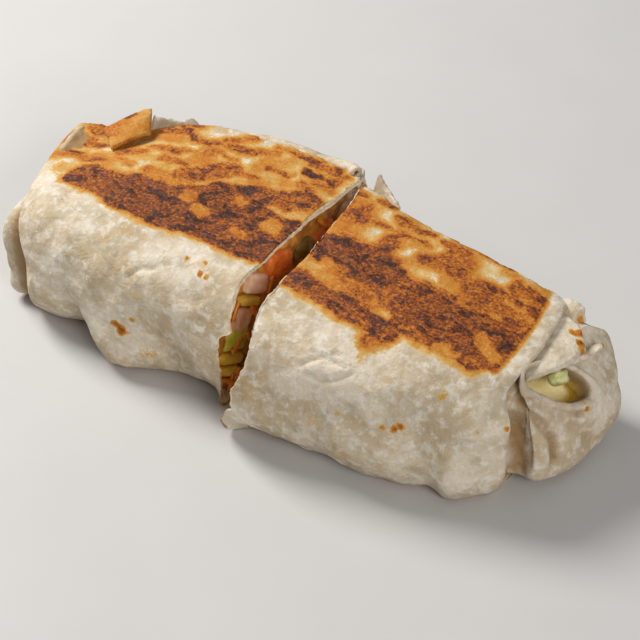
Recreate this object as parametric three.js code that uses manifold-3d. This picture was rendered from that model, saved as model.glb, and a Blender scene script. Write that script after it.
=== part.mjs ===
// A buffalo chicken wrap: a flour tortilla rolled flat round chopped chicken, celery and carrot, toasted on
// top and cut across the middle into two halves that still lie end to end.
// Units are millimetres. X runs along the wrap, Y away from the shown side, Z up, and it rests on Z = 0.
import * as THREE from "three";
import { ConvexGeometry } from "three/addons/geometries/ConvexGeometry.js";
import { mergeVertices } from "three/addons/utils/BufferGeometryUtils.js";
import Module from "manifold-3d";

const wasm = await Module();
wasm.setup();

// ---------------------------------------------------------------- driving sizes
const LAYER = 2.2; // one thickness of tortilla
const LAP = 1.7; // the second layer over the top and the back, where the roll overlaps
const CENTRE = [5.07, 1.81]; // moves the wrap so that its outer box is centred
const FIT = 0.3; // clear gap between pieces that touch
const FACE_DEPTH = 2.4; // how far the loose filling lies behind its cut edge
const SLACK = 1.3; // how much further in the mixture lies, as it has fewer steps round it
const SPACING = 7.5; // about how far apart the rings of a half lie
const AROUND = 40; // steps round the tortilla
const CORE_AROUND = 24; // steps round the filling

// ---------------------------------------------------------------- small maths
const clamp = (v, low, high) => Math.min(high, Math.max(low, v));
const smooth = (low, high, v) => {
  const t = clamp((v - low) / (high - low), 0, 1);
  return t * t * (3 - 2 * t);
};
const bump = (distance) => Math.exp(-distance * distance);
const radians = (turn) => (turn * Math.PI) / 180;
// The shortest way round from one angle to another, in degrees.
const apart = (a, b) => ((((a - b + 180) % 360) + 360) % 360) - 180;

// A small fixed generator, so that every build is the same.
function randomFrom(seed) {
  let state = seed;
  return () => {
    state = (state * 1664525 + 1013904223) % 4294967296;
    return state / 4294967296;
  };
}

// Slopes at the knots of a curve that never overshoots its values.
function slopes(knots, values) {
  const steps = knots.slice(1).map((k, i) => k - knots[i]);
  const rises = steps.map((step, i) => (values[i + 1] - values[i]) / step);
  return values.map((_, i) => {
    if (i === 0) return rises[0];
    if (i === values.length - 1) return rises[rises.length - 1];
    if (rises[i - 1] * rises[i] <= 0) return 0;
    const before = 2 * steps[i] + steps[i - 1];
    const after = steps[i] + 2 * steps[i - 1];
    return (before + after) / (before / rises[i - 1] + after / rises[i]);
  });
}

// ---------------------------------------------------------------- rings
// A half is a loft through rings: where a ring's centre lies, its half width and half height, and
//   press: how much the griddle flattened its top,      lean: how far its top lies behind its foot,
//   shear: how far its back lies ahead of its front,    bow: how far its sides trail its middle,
//   tilt: how far it leans back to face the sky,        spin: its turn in its own plane,
//   gather: how much of the pleats it shows,            fill, slide: how far its foot at the front swells
//   and moves outwards, where the outer layer is folded in with the rest and has no rim,
//   corner: how square it is, from 2, an ellipse,       raised: how much of the skin's swellings it shows.
const PLAIN = {
  ...{ x: 0, y: 0, z: 20, w: 40, h: 24, press: 0, lean: 0, shear: 0, bow: 0 },
  ...{ tilt: 0, spin: 0, gather: 0, fill: 0, slide: 0, corner: 3.3, raised: 1 },
};
const KEYS = Object.keys(PLAIN);

// Left half, from its cut to where the tucked end begins.
const LEFT_BODY = [
  { x: -8, y: 3.3, z: 20, w: 43, h: 24.5, press: 2.2, lean: 0.12 },
  { x: -24, y: 3.4, z: 20, w: 42.6, h: 24.6, press: 2.2, lean: 0.12 },
  { x: -42, y: 1.6, z: 20, w: 43, h: 24.6, press: 2.2, lean: 0.12 },
  { x: -58, y: 0, z: 19.8, w: 41, h: 24.2, press: 2, lean: 0.12, shear: -0.02 },
  { x: -71, y: -2.2, z: 19.6, w: 37.6, h: 23.6, press: 1.8, lean: 0.1, shear: -0.07 },
  { x: -82, y: -4.4, z: 19.2, w: 35, h: 22.6, press: 1.4, lean: 0.06, shear: -0.14 },
  { x: -90, y: -5.4, z: 18.9, w: 33.2, h: 21.4, press: 1, lean: 0.04, shear: -0.21, slide: -1.6 },
];
// The outer layer ends in a slanting rim. The tucked end stands out of it at the sides, round a hollow
// that runs in to a pinched fold.
const BARE = { raised: 0 }; // a ring past the rim, where the outer layer's swellings don't reach
const LEFT_END = [
  { x: -94.4, y: -5.8, z: 18.6, w: 31.8, h: 20.4, press: 0.7, lean: 0.02, shear: -0.285, slide: -2.9 },
  { x: -96, y: -5.8, z: 18.6, w: 30.6, h: 19.4, press: 0.4, shear: -0.29, slide: -3.6 },
  { ...BARE, x: -95.6, y: -5.8, z: 18.5, w: 29.4, h: 18.2, press: 0.2, shear: -0.285, slide: -3.7 },
  { ...BARE, x: -91, y: -6, z: 18.2, w: 28.4, h: 17.4, tilt: 3, shear: -0.2, bow: -0.8, slide: -3 },
  {
    ...BARE, x: -88.8, y: -6, z: 17.9, w: 29, h: 17.4,
    tilt: 6, shear: -0.12, bow: -3.4, gather: 0.5, slide: -0.6,
  },
  {
    ...BARE, x: -90.6, y: -6, z: 17.6, w: 28.6, h: 16.8,
    tilt: 8, shear: -0.06, bow: -4.2, gather: 0.9, slide: 0.2,
  },
  {
    ...BARE, x: -91.6, y: -6, z: 17.2, w: 26.4, h: 15.2,
    tilt: 8, shear: -0.04, bow: -4.6, gather: 1, slide: 0.6,
  },
  {
    ...BARE, x: -91.2, y: -6.2, z: 17, w: 23.4, h: 12,
    tilt: 7, shear: -0.04, bow: -3.6, gather: 1, slide: 0.4,
  },
  { ...BARE, x: -89.8, y: -6.6, z: 17, w: 17.6, h: 6.4, tilt: 4, bow: -1.4, gather: 0.6 },
  { ...BARE, x: -87, y: -7, z: 16.8, w: 12, h: 2.4 },
];
// Right half, from its cut to the rim of the outer layer.
const RIGHT_BODY = [
  { x: 1, y: -6.8, z: 20, w: 42.2, h: 24.4, press: 2.2, lean: 0.12, shear: -0.11 },
  { x: 16, y: -6, z: 20, w: 40.6, h: 24.6, press: 2.2, lean: 0.12, shear: -0.03 },
  { x: 33, y: -5.2, z: 20, w: 38.6, h: 24.6, press: 2.2, lean: 0.12 },
  { x: 48, y: -4, z: 19.8, w: 36.2, h: 24.2, press: 2.1, lean: 0.12 },
  { x: 59, y: -2.4, z: 19.5, w: 33.8, h: 23.8, press: 1.9, lean: 0.1 },
  { x: 69, y: -0.6, z: 19, w: 31.8, h: 22.8, press: 1.6, lean: 0.08, shear: -0.08, bow: 1.6 },
];
// The rim, the hollow inside it, the gathered end that swells out below, and the mouth in its top.
const RIGHT_END = [
  {
    x: 75.4, y: 1.2, z: 18.6, w: 29.8, h: 21.8, press: 1.2,
    lean: 0.06, shear: -0.12, bow: 4, fill: -0.6, slide: 3,
  },
  {
    x: 77, y: 2, z: 18.6, w: 28.4, h: 20.8, press: 0.9,
    lean: 0.05, shear: -0.12, bow: 4, fill: -3.6, slide: 4.6,
  },
  {
    ...BARE, x: 76.6, y: 2.6, z: 18.6, w: 26.6, h: 19.2,
    press: 0.6, shear: -0.12, bow: 3.6, fill: -3.8, slide: 4.4,
  },
  { ...BARE, x: 72.6, y: 3.4, z: 18.4, w: 25.2, h: 17.6, press: 0.3, gather: 0.1, fill: -2.4, slide: 4 },
  { ...BARE, x: 75, y: 4.2, z: 18.2, w: 25.2, h: 17.8, tilt: 4, gather: 0.3, fill: -0.6, slide: 3 },
  {
    ...BARE, x: 80.4, y: 5.2, z: 18.2, w: 24.6, h: 17.8, tilt: 8,
    gather: 0.7, slide: 0.6, bow: 1.4, shear: 0.04, corner: 3,
  },
  {
    ...BARE, x: 85.6, y: 6.4, z: 17.9, w: 22.8, h: 16.8, tilt: 22,
    spin: -2, gather: 1, bow: 2, shear: 0.07, corner: 3.8,
  },
  {
    ...BARE, x: 86.8, y: 5.8, z: 21.2, w: 20.6, h: 14.2,
    tilt: 31, spin: -10, gather: 0.8, bow: 1.8, shear: 0.08,
  },
  {
    ...BARE, x: 86, y: 2.8, z: 24.9, w: 18.2, h: 10.2,
    tilt: 37, spin: -30, gather: 0.5, shear: 0.06, corner: 2.4,
  },
  { ...BARE, x: 85.2, y: -0.4, z: 28.6, w: 16, h: 7.8, tilt: 40, spin: -40, gather: 0.2, corner: 2.2 },
  { ...BARE, x: 84.8, y: -0.6, z: 30.4, w: 14.6, h: 6.6, tilt: 40, spin: -42, gather: 0.1, corner: 2 },
  { ...BARE, x: 84.2, y: -0.4, z: 30.4, w: 13.2, h: 5.4, tilt: 40, spin: -42, corner: 2 },
  { ...BARE, x: 80.6, y: -0.2, z: 27.6, w: 12.6, h: 4.8, tilt: 40, spin: -42, corner: 2 },
  { ...BARE, x: 76, y: 0.2, z: 23.6, w: 11.6, h: 4.4, tilt: 40, spin: -42, corner: 2 },
  { ...BARE, x: 72, y: 0.4, z: 20.2, w: 7.6, h: 2.8, tilt: 40, spin: -42, corner: 2 },
];
const SIDES = {
  left: { body: LEFT_BODY, end: LEFT_END, out: -1, cavityEnd: 76 },
  right: { body: RIGHT_BODY, end: RIGHT_END, out: 1, cavityEnd: 62 },
};
// Where round a ring the outer layer is folded in at the front: from nothing to full, and back to nothing.
const folded = (outwards, turn) =>
  outwards > 0
    ? smooth(126, 154, turn) * smooth(240, 208, turn)
    : smooth(135, 180, turn) * smooth(255, 215, turn);

// A point of a ring at an angle from +Y over the top, inset from the skin and swollen by the relief.
function ringPoint(r, turn, inset = 0, swell = 0) {
  const c = Math.cos(radians(turn));
  const s = Math.sin(radians(turn));
  const k = (Math.abs(c) ** r.corner + Math.abs(s) ** r.corner) ** (-1 / r.corner);
  const outwards = Math.sign(r.x);
  swell += r.fill * folded(outwards, turn);
  let across = (Math.max(r.w - inset, 0.2) + swell) * k * c;
  let up = (Math.max(r.h - inset, 0.2) + swell) * k * s;
  if (r.press > 0) {
    const ceiling = r.h - r.press - inset + swell;
    if (up > ceiling) up = ceiling + (up - ceiling) * 0.12;
  }
  across += r.lean * up;
  const spin = radians(r.spin);
  [across, up] = [
    across * Math.cos(spin) - up * Math.sin(spin),
    across * Math.sin(spin) + up * Math.cos(spin),
  ];
  const tilt = radians(r.tilt);
  const ahead = outwards * (r.slide * folded(outwards, turn) - r.bow * (across / r.w) ** 2);
  const x = r.x - up * Math.sin(tilt) + r.shear * across + ahead;
  return new THREE.Vector3(x, r.y + across, Math.max(r.z + up * Math.cos(tilt), inset));
}

// Rings between the given ones, about a step apart, along a curve through all their sizes.
function fillRings(rows, step) {
  const rings = rows.map((row) => ({ ...PLAIN, ...row }));
  const knots = [0];
  for (let i = 1; i < rings.length; i++) {
    const [a, b] = [rings[i - 1], rings[i]];
    const spread = Math.max(Math.abs(b.w - a.w), Math.abs(b.h - a.h));
    knots.push(knots[i - 1] + Math.hypot(b.x - a.x, b.z - a.z, spread));
  }
  const slope = Object.fromEntries(KEYS.map((key) => [key, slopes(knots, rings.map((r) => r[key]))]));
  const filled = [];
  for (let i = 0; i + 1 < rings.length; i++) {
    const length = knots[i + 1] - knots[i];
    const pieces = Math.max(1, Math.round(length / step));
    for (let j = 0; j < pieces; j++) {
      const t = j / pieces;
      const between = (key) =>
        rings[i][key] * (1 + 2 * t) * (1 - t) ** 2 +
        slope[key][i] * length * t * (1 - t) ** 2 +
        rings[i + 1][key] * t * t * (3 - 2 * t) +
        slope[key][i + 1] * length * t * t * (t - 1);
      filled.push(Object.fromEntries(KEYS.map((key) => [key, between(key)])));
    }
  }
  filled.push(rings[rings.length - 1]);
  return filled;
}

// ---------------------------------------------------------------- relief of the skin
// Swellings and dents: [x, angle round, reach along x, reach round in degrees, height].
const RELIEF = {
  left: [
    [-47, 208, 11, 24, 2.4],
    [-27, 202, 9, 22, -1.8],
    [-64, 200, 7, 22, -1.8],
    [-80, 196, 9, 22, 1.2],
    [-26, 158, 12, 14, 1],
    [-60, 20, 14, 30, 1.4],
    [-30, 350, 10, 26, -1.4],
    [-12, 192, 6, 20, 0.8],
    [-32, 34, 22, 16, 1.6],
    [-13, 38, 8, 12, 1.2],
    [-7, 218, 3, 12, 4.2],
    [-87, 66, 14, 26, -4.4],
  ],
  right: [
    [29, 172, 11, 12, -2.6],
    [14, 196, 11, 18, 1.4],
    [45, 190, 12, 20, 1.6],
    [62, 205, 5, 24, -1.8],
    [70, 214, 5, 20, 2],
    [30, 350, 14, 30, 1.6],
    [58, 10, 10, 24, -1.4],
    [4, 204, 5, 24, 1.2],
    [-1, 222, 4, 12, 2.4],
    [3, 42, 9, 15, 2.6],
  ],
};
// The free edge of the outer layer on the back of the top, and how far the foot of the front is tucked in:
// [x, angle round] and [x, depth], from the cut outwards.
const SEAM = {
  left: [[8, 54], [50, 52], [80, 50], [100, 48]],
  right: [[1, 44], [24, 49], [42, 50], [58, 50], [77, 46]],
};
const FOOT = {
  left: [
    [8, 2.6], [20, 1.8], [30, 0.4], [36, 0], [47, 0.2], [56, 2.2], [64, 3.6], [74, 1.6], [88, 0.2],
    [100, -0.6],
  ],
  right: [
    [1, 2.6], [8, 3.2], [16, 3], [24, 2.4], [36, 1.8], [48, 1.2], [58, 0.4], [66, 0.6], [70, 1],
    [77, 0.6],
  ],
};

// The value of a line of [x, value] at a distance from the cut, straight between its points.
function valueAt(line, x) {
  const i = clamp(line.findIndex(([at]) => at > Math.abs(x)), 1, line.length - 1);
  const [[x0, v0], [x1, v1]] = [line[i - 1], line[i]];
  return v0 + (v1 - v0) * clamp((Math.abs(x) - x0) / (x1 - x0), 0, 1);
}

function relief(side, x, turn) {
  let height = -valueAt(FOOT[side], x) * bump(apart(turn, 216) / 22);
  for (const [atX, atTurn, reachX, reachTurn, rise] of RELIEF[side])
    height += rise * bump((x - atX) / reachX) * bump(apart(turn, atTurn) / reachTurn);
  const seam = valueAt(SEAM[side], x);
  return height - LAP * 0.8 * smooth(seam + 2.5, seam - 2.5, turn) * smooth(-70, -20, apart(turn, 0));
}

// The sum of bumps round the wrap, given as [angle round, half width in degrees, height].
const total = (bumps, turn) =>
  bumps.reduce((sum, [at, half, by]) => sum + by * bump(apart(turn, at) / half), 0);

// Pleats that gather the ends, by their depth.
const PLEATS = {
  left: [
    [182, 8, 0.4], [206, 6, 0.8], [222, 15, -3.8], [262, 8, 1.4], [300, 10, 2], [340, 8, 1.8],
    [30, 10, 1.8], [80, 9, 1.2],
  ],
  right: [
    [202, 10, 0.6], [220, 14, -1.2], [300, 12, 0.8], [18, 15, -3.6],
  ],
};
// How far the knife left the cut edge from true, round the edge: torn tabs and nicks.
const TEARS = {
  left: [
    [146, 10, 2.2], [155, 4, 3.2], [196, 22, 1.8], [120, 8, 0.8], [84, 9, -0.8], [52, 5, 0.8],
    [34, 12, -5], [12, 16, -5], [330, 16, -2],
  ],
  right: [
    [150, 16, 3.2], [214, 20, -5.6], [176, 4, -0.9], [190, 4, 0.8], [96, 9, 0.8], [48, 6, -1.2],
    [340, 12, 0.9],
  ],
};
// How far parts of the rim stand out along the wrap.
const RIM = { left: [[72, 34, -2.8]], right: [] };

// How thick the wall is round the cut: two layers over the top and the back, one elsewhere.
const wall = (turn) =>
  LAYER + LAP * smooth(-40, 0, apart(turn, 0)) * smooth(150, 125, turn > 300 ? 0 : turn);

// ---------------------------------------------------------------- lofts
const turns = (count) => Array.from({ length: count }, (_, j) => (360 * j) / count);
const middle = (loop) => loop.reduce((sum, p) => sum.add(p), new THREE.Vector3()).divideScalar(loop.length);

function meshOf(points, index) {
  const geometry = new THREE.BufferGeometry();
  const places = points.flatMap((p) => [p.x, p.y, p.z]);
  geometry.setAttribute("position", new THREE.Float32BufferAttribute(places, 3));
  geometry.setIndex(index);
  return geometry;
}

// A closed surface through loops of points, each end drawn in to the middle of its last loop.
function loft(loops, mirrored) {
  const ordered = mirrored ? loops.map((loop) => [...loop].reverse()) : loops;
  const around = ordered[0].length;
  const points = ordered.flat();
  points.push(middle(ordered[0]), middle(ordered[ordered.length - 1]));
  const index = [];
  for (let j = 0; j < around; j++) {
    const k = (j + 1) % around;
    index.push(points.length - 2, k, j);
    for (let i = 0; i + 1 < ordered.length; i++) {
      const [a, b, c, d] = [i * around + j, i * around + k, (i + 1) * around + j, (i + 1) * around + k];
      index.push(a, b, d, a, d, c);
    }
    const end = (ordered.length - 1) * around;
    index.push(points.length - 1, end + j, end + k);
  }
  return meshOf(points, index);
}

// The skin of one half: its cavity from the inmost ring out, over the cut edge, and on to the tucked end.
function skinLoops(side) {
  const { body, end, out, cavityEnd } = SIDES[side];
  const outer = fillRings([...body, end[0]], SPACING).slice(0, -1);
  const inner = outer.filter((r) => Math.abs(r.x) < cavityEnd).reverse();
  const cut = outer[0].x;
  const at = (r, insetOf) =>
    turns(AROUND).map((turn) => {
      const p = ringPoint(r, turn, insetOf(turn), relief(side, r.x, turn));
      p.x += total(TEARS[side], turn) * bump((r.x - cut) / 9);
      p.x += total(RIM[side], turn) * bump((r.x - end[0].x) / 16);
      return p;
    });
  const loops = [at({ ...inner[0], x: inner[0].x + out * 4 }, () => 12)];
  for (const r of inner) loops.push(at(r, wall));
  for (const r of outer) loops.push(at(r, () => 0));
  for (const r of fillRings(end, 4.2))
    loops.push(
      turns(AROUND).map((turn) => {
        const swell = r.raised * relief(side, r.x, turn) - r.gather * total(PLEATS[side], turn);
        const p = ringPoint(r, turn, 0, swell);
        p.x += r.raised * total(RIM[side], turn);
        return p;
      }),
    );
  return loops;
}

// The loose filling that runs through a half, its face uneven at the cut.
function fillingLoops(side) {
  const { body, out, cavityEnd } = SIDES[side];
  const rings = fillRings(body, SPACING).filter((r) => Math.abs(r.x) < cavityEnd);
  const roughness = randomFrom(side === "left" ? 11 : 29);
  const loops = [];
  for (const share of [0.35, 0.7, 0.93]) {
    const r = { ...rings[0], x: rings[0].x + out * FACE_DEPTH };
    loops.push(
      turns(CORE_AROUND).map((turn) => {
        const p = ringPoint(r, turn, wall(turn) + FIT + SLACK, relief(side, r.x, turn));
        p.lerp(new THREE.Vector3(r.x, r.y, r.z), 1 - share);
        p.x += out * (roughness() - 0.5) * 1.6;
        return p;
      }),
    );
  }
  rings.forEach((r, i) => {
    const x = i === 0 ? r.x + out * (FACE_DEPTH + 2.2) : r.x;
    loops.push(
      turns(CORE_AROUND).map((turn) =>
        ringPoint({ ...r, x }, turn, wall(turn) + FIT + SLACK, relief(side, x, turn)),
      ),
    );
  });
  return loops;
}

// ---------------------------------------------------------------- joining and cutting
function toSolid(geometry) {
  const bare = geometry.clone();
  bare.deleteAttribute("normal");
  bare.deleteAttribute("uv");
  const merged = mergeVertices(bare, 1e-4);
  return new wasm.Manifold(
    new wasm.Mesh({
      numProp: 3,
      vertProperties: new Float32Array(merged.attributes.position.array),
      triVerts: new Uint32Array(merged.index.array),
    }),
  );
}

const largestOf = (solid) => solid.decompose().sort((a, b) => b.volume() - a.volume())[0];

function toGeometry(solid) {
  const mesh = solid.getMesh();
  const geometry = new THREE.BufferGeometry();
  const places = new Float32Array(mesh.vertProperties);
  geometry.setAttribute("position", new THREE.BufferAttribute(places, 3));
  geometry.setIndex(new THREE.BufferAttribute(new Uint32Array(mesh.triVerts), 1));
  return geometry;
}

// A thin curved sheet of tortilla over a grid of points, thickened evenly to both sides of them.
function sheet(pointAt, columns, rows, thickness) {
  const grid = [];
  for (let i = 0; i <= columns; i++) {
    grid.push([]);
    for (let j = 0; j <= rows; j++) grid[i].push(pointAt(i / columns, j / rows));
  }
  const normal = (i, j) => {
    const along = grid[Math.min(i + 1, columns)][j].clone().sub(grid[Math.max(i - 1, 0)][j]);
    const over = grid[i][Math.min(j + 1, rows)].clone().sub(grid[i][Math.max(j - 1, 0)]);
    return along.cross(over).normalize();
  };
  const points = [];
  for (const side of [0.5, -0.5])
    for (let i = 0; i <= columns; i++)
      for (let j = 0; j <= rows; j++)
        points.push(grid[i][j].clone().addScaledVector(normal(i, j), thickness * side));
  const at = (side, i, j) => (side * (columns + 1) + i) * (rows + 1) + j;
  const index = [];
  for (let i = 0; i < columns; i++)
    for (let j = 0; j < rows; j++) {
      const [a, b, c, d] = [at(0, i, j), at(0, i + 1, j), at(0, i + 1, j + 1), at(0, i, j + 1)];
      const under = at(1, 0, 0);
      index.push(a, b, c, a, c, d);
      index.push(a + under, c + under, b + under, a + under, d + under, c + under);
    }
  const edge = ([i, j], [k, l]) => {
    const [a, b, c, d] = [at(0, i, j), at(1, i, j), at(1, k, l), at(0, k, l)];
    index.push(a, b, c, a, c, d);
  };
  for (let i = 0; i < columns; i++) {
    edge([i, 0], [i + 1, 0]);
    edge([i + 1, rows], [i, rows]);
  }
  for (let j = 0; j < rows; j++) {
    edge([0, j + 1], [0, j]);
    edge([columns, j], [columns, j + 1]);
  }
  return meshOf(points, index);
}

const curve = (places) => new THREE.CatmullRomCurve3(places.map((p) => new THREE.Vector3(...p)));

// A flap between the line it rises from and its free edge, domed between them.
function flapPoint(root, free, dome) {
  const [low, high] = [curve(root), curve(free)];
  return (u, v) => {
    const p = low.getPoint(u).lerp(high.getPoint(u), v);
    const rise = dome * Math.sin(Math.PI * v ** 1.4) * (0.35 + 0.65 * Math.sin(Math.PI * u));
    return p.add(new THREE.Vector3(0.3 * rise, 0, rise));
  };
}

// A free edge curled up round a line, drawn in a little on its way round.
function rollPoint(line, radius) {
  const axis = curve(line);
  return (u, v) => {
    const across = axis.getTangent(u).cross(new THREE.Vector3(0, 0, 1)).normalize();
    const turn = radians(-150 + 340 * v);
    const reach = radius * (1 - 0.28 * v);
    const p = axis.getPoint(u).addScaledVector(across, reach * Math.cos(turn));
    p.z += reach * Math.sin(turn);
    return p;
  };
}

// Loose flaps of tortilla: [root, free edge, thickness, dome].
const FLAPS = {
  right: [
    // the fold that comes down over the back of the mouth
    [
      [[73, -6, 35], [72, 2, 35.8], [70, 10, 36], [68, 17, 36], [67, 22, 35.6]],
      [[79.3, -10.1, 35.7], [84.7, 1.9, 35.1], [85.4, 9.6, 34.4], [84.6, 13.6, 34.2], [79.4, 18.6, 36.2]],
      2.2, 1,
    ],
    // a small pinched curl beside it
    [
      [[82, 8, 30.4], [82.6, 11, 30.8], [83, 14, 31]],
      [[86, 12.6, 32], [87.6, 17.6, 32], [86.4, 21.6, 30.6]],
      1.8, 0.8,
    ],
    // the folded corner behind them
    [
      [[67, 22, 34.2], [71, 21.6, 34], [75, 20.6, 31.6]],
      [[69.6, 27, 36], [75.4, 27.4, 35.2], [77.8, 25, 32.8]],
      2, 0.8,
    ],
    // the corner of the outer layer that stands up at the back of the cut
    [
      [[-2.6, 34.2, 39.2], [3.2, 31.6, 39.6], [9.8, 29.2, 39.4]],
      [[-1.6, 35.4, 45.8], [3.4, 33.6, 43], [9.6, 30.2, 40.8]],
      1.6, 0.4,
    ],
  ],
  left: [
    // a torn piece of the outer layer that lifts off the back of the end
    [
      [[-82, 4.6, 39.2], [-86.6, 8.4, 39.4], [-91.0, 11.6, 38.8]],
      [[-74.5, 15.2, 41.8], [-77.4, 19.4, 43.6], [-80.1, 23, 45]],
      1.8, 1.6,
    ],
    // the ragged layer under it
    [
      [[-79, 20, 39], [-72, 24.5, 39], [-66, 28, 39]],
      [[-79, 22.6, 43.2], [-75.4, 23.8, 42.6], [-70.6, 26.2, 41.8], [-68.8, 28.6, 42.8], [-66.6, 29.2, 40.4]],
      1.5, 0.6,
    ],
  ],
};
// A curled edge: [line, radius, thickness].
const ROLLS = {
  left: [[[[-9.6, 34.8, 42.8], [-14, 37, 41.6], [-27, 38, 38.8]], 1.6, 1.3]],
  right: [],
};

function tortilla(side) {
  let solid = toSolid(loft(skinLoops(side), side === "left"));
  for (const [root, free, thickness, dome] of FLAPS[side])
    solid = solid.add(toSolid(sheet(flapPoint(root, free, dome), 6, 5, thickness)));
  for (const [line, radius, thickness] of ROLLS[side])
    solid = solid.add(toSolid(sheet(rollPoint(line, radius), 4, 10, thickness)));
  return toGeometry(largestOf(solid));
}

// ---------------------------------------------------------------- filling pieces
// A chopped piece: a rounded block with uneven corners, hull of points spread over it.
function chunk([wide, deep, high], seed, roundness = 3.4) {
  const random = randomFrom(seed);
  const points = [];
  const count = 20;
  for (let i = 0; i < count; i++) {
    const z = 1 - (2 * i + 1) / count;
    const turn = i * Math.PI * (3 - Math.sqrt(5));
    const flat = Math.sqrt(1 - z * z);
    const [a, b, c] = [flat * Math.cos(turn), flat * Math.sin(turn), z];
    const sum = [a, b, c].reduce((total, v) => total + Math.abs(v) ** roundness, 0);
    const k = (sum ** (-1 / roundness) * (0.9 + 0.2 * random())) / 2;
    points.push(new THREE.Vector3(wide * k * a, deep * k * b, high * k * c));
  }
  return new ConvexGeometry(points);
}

// A slice of celery: a crescent cut across the stalk, as long as it was chopped.
function crescent([wide, deep, high]) {
  const shape = new THREE.Shape();
  const radius = wide * 0.56;
  const open = Math.asin((wide * 0.5) / radius);
  const [low, up] = [radius * 0.62, Math.PI / 2];
  shape.absarc(0, -low, radius, up + open, up - open, true);
  shape.absarc(0, -low - high * 0.42, radius * 0.8, up - open * 0.9, up + open * 0.9, false);
  const geometry = new THREE.ExtrudeGeometry(shape, {
    depth: deep,
    bevelEnabled: false,
    curveSegments: 4,
  });
  geometry.translate(0, 0, -deep / 2);
  geometry.rotateY(Math.PI / 2);
  geometry.rotateX(Math.PI / 2);
  return geometry;
}

// A shred of carrot: a bent strip along a curve from one point to another.
function shred(from, to, sag, thick) {
  const middlePoint = from.clone().lerp(to, 0.5).add(sag);
  const path = new THREE.CatmullRomCurve3([from, middlePoint, to]);
  const [half, flat] = [thick / 2, thick / 3];
  const section = new THREE.Shape();
  section.moveTo(-half, -flat);
  section.lineTo(half, -flat);
  section.lineTo(half, flat);
  section.lineTo(-half, flat);
  return new THREE.ExtrudeGeometry(section, { steps: 4, extrudePath: path, bevelEnabled: false });
}

// What shows at each cut, from the near wall to the back: [name, y, z, width, height, turn in degrees].
const PIECES = {
  left: [
    ["chicken", -4.8, 31.2, 10.6, 8.2, -10],
    ["chicken", -15.6, 32.6, 9.8, 5.2, -34],
    ["pepper", -18.8, 28.2, 10.6, 2.8, -34],
    ["chicken", -25.0, 25.8, 10.6, 6.2, -34],
    ["celery", -26.0, 18.6, 11.0, 6.6, -28],
    ["pepper", -29.0, 13.2, 10.0, 3.0, -30],
    ["pepper", -30.6, 9.4, 8.4, 2.8, -28],
    ["chicken", -11.4, 13.4, 11.0, 9.6, 24],
    ["chicken", 2.2, 19.0, 12.0, 11.0, -12],
    ["celery", 7.2, 30.8, 10.0, 6.8, -10],
    ["chicken", 17.8, 28.6, 11.0, 10.0, 14],
    ["pepper", 13.6, 15.8, 9.6, 4.2, -28],
    ["chicken", 25.6, 18.2, 11.0, 10.2, -24],
    ["chicken", 30.6, 30.4, 10.0, 8.4, -20],
    ["celery", 15.6, 7.4, 10.6, 6.4, 8],
    ["pepper", -3.0, 7.0, 10.0, 3.6, 4],
  ],
  right: [
    ["chicken", -31.0, 24.6, 11.4, 10.4, 16],
    ["celery", -30.0, 13.4, 10.4, 7.6, -14],
    ["chicken", -17.6, 30.0, 12.4, 8.6, -8],
    ["pepper", -18.4, 20.2, 10.6, 4.2, 22],
    ["chicken", -17.0, 10.0, 12.0, 9.8, -26],
    ["chicken", -3.4, 24.0, 12.4, 12.0, 20],
    ["celery", -2.2, 10.4, 10.6, 7.6, 8],
    ["chicken", 10.4, 30.4, 12.4, 8.6, -10],
    ["pepper", 10.6, 20.4, 10.4, 4.4, -18],
    ["chicken", 11.2, 9.8, 11.4, 9.6, 12],
    ["celery", 24.6, 27.4, 10.4, 7.2, -20],
    ["chicken", 24.0, 15.6, 11.2, 11.0, 34],
  ],
};
const COLORS = { chicken: 0xd2a679, celery: 0x9aa83e, pepper: 0xc7a62f };
const DEPTH = { chicken: 10, celery: 7, pepper: 8 };
const PROUD = 0.9; // how far a piece stands out of the mixture round it

// How far along the wrap the face of the mixture lies, across a cut that may run aslant.
function faceAt(side, y) {
  const [cut] = SIDES[side].body;
  return cut.x + (cut.shear ?? 0) * (y - cut.y) + SIDES[side].out * FACE_DEPTH;
}

// A piece at its place, or the box round it that its pocket is cut with.
function pieceAt(side, [name, y, z, wide, high, turn], number, boxed = false) {
  const { out } = SIDES[side];
  let geometry =
    name === "celery"
      ? crescent([wide, DEPTH[name], high])
      : chunk([DEPTH[name], wide, high], 40 + 7 * number);
  if (boxed) {
    geometry.computeBoundingBox();
    const size = geometry.boundingBox.getSize(new THREE.Vector3()).addScalar(2 * FIT);
    const centre = geometry.boundingBox.getCenter(new THREE.Vector3());
    geometry = new THREE.BoxGeometry(...size).translate(...centre);
  }
  geometry.rotateX(radians(turn));
  geometry.translate(faceAt(side, y) + out * (DEPTH[name] / 2 - PROUD), y, z);
  return toSolid(geometry);
}

// The shreds of carrot that show low down in a cut: [y, z] of both ends.
const SHREDS = {
  left: [
    [-32, 9.4, -26.6, 6.8],
    [-29, 6.6, -21, 5.8],
    [-22, 6.4, -12, 5.4],
    [22, 10.6, 34, 9.2],
  ],
  right: [
    [-36, 9.6, -30, 7.4],
    [-33, 7.4, -26, 6.4],
    [-10, 16.4, -12, 6.4],
    [3, 14.8, 14, 16],
    [26, 6.2, 17, 4.8],
  ],
};

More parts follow.
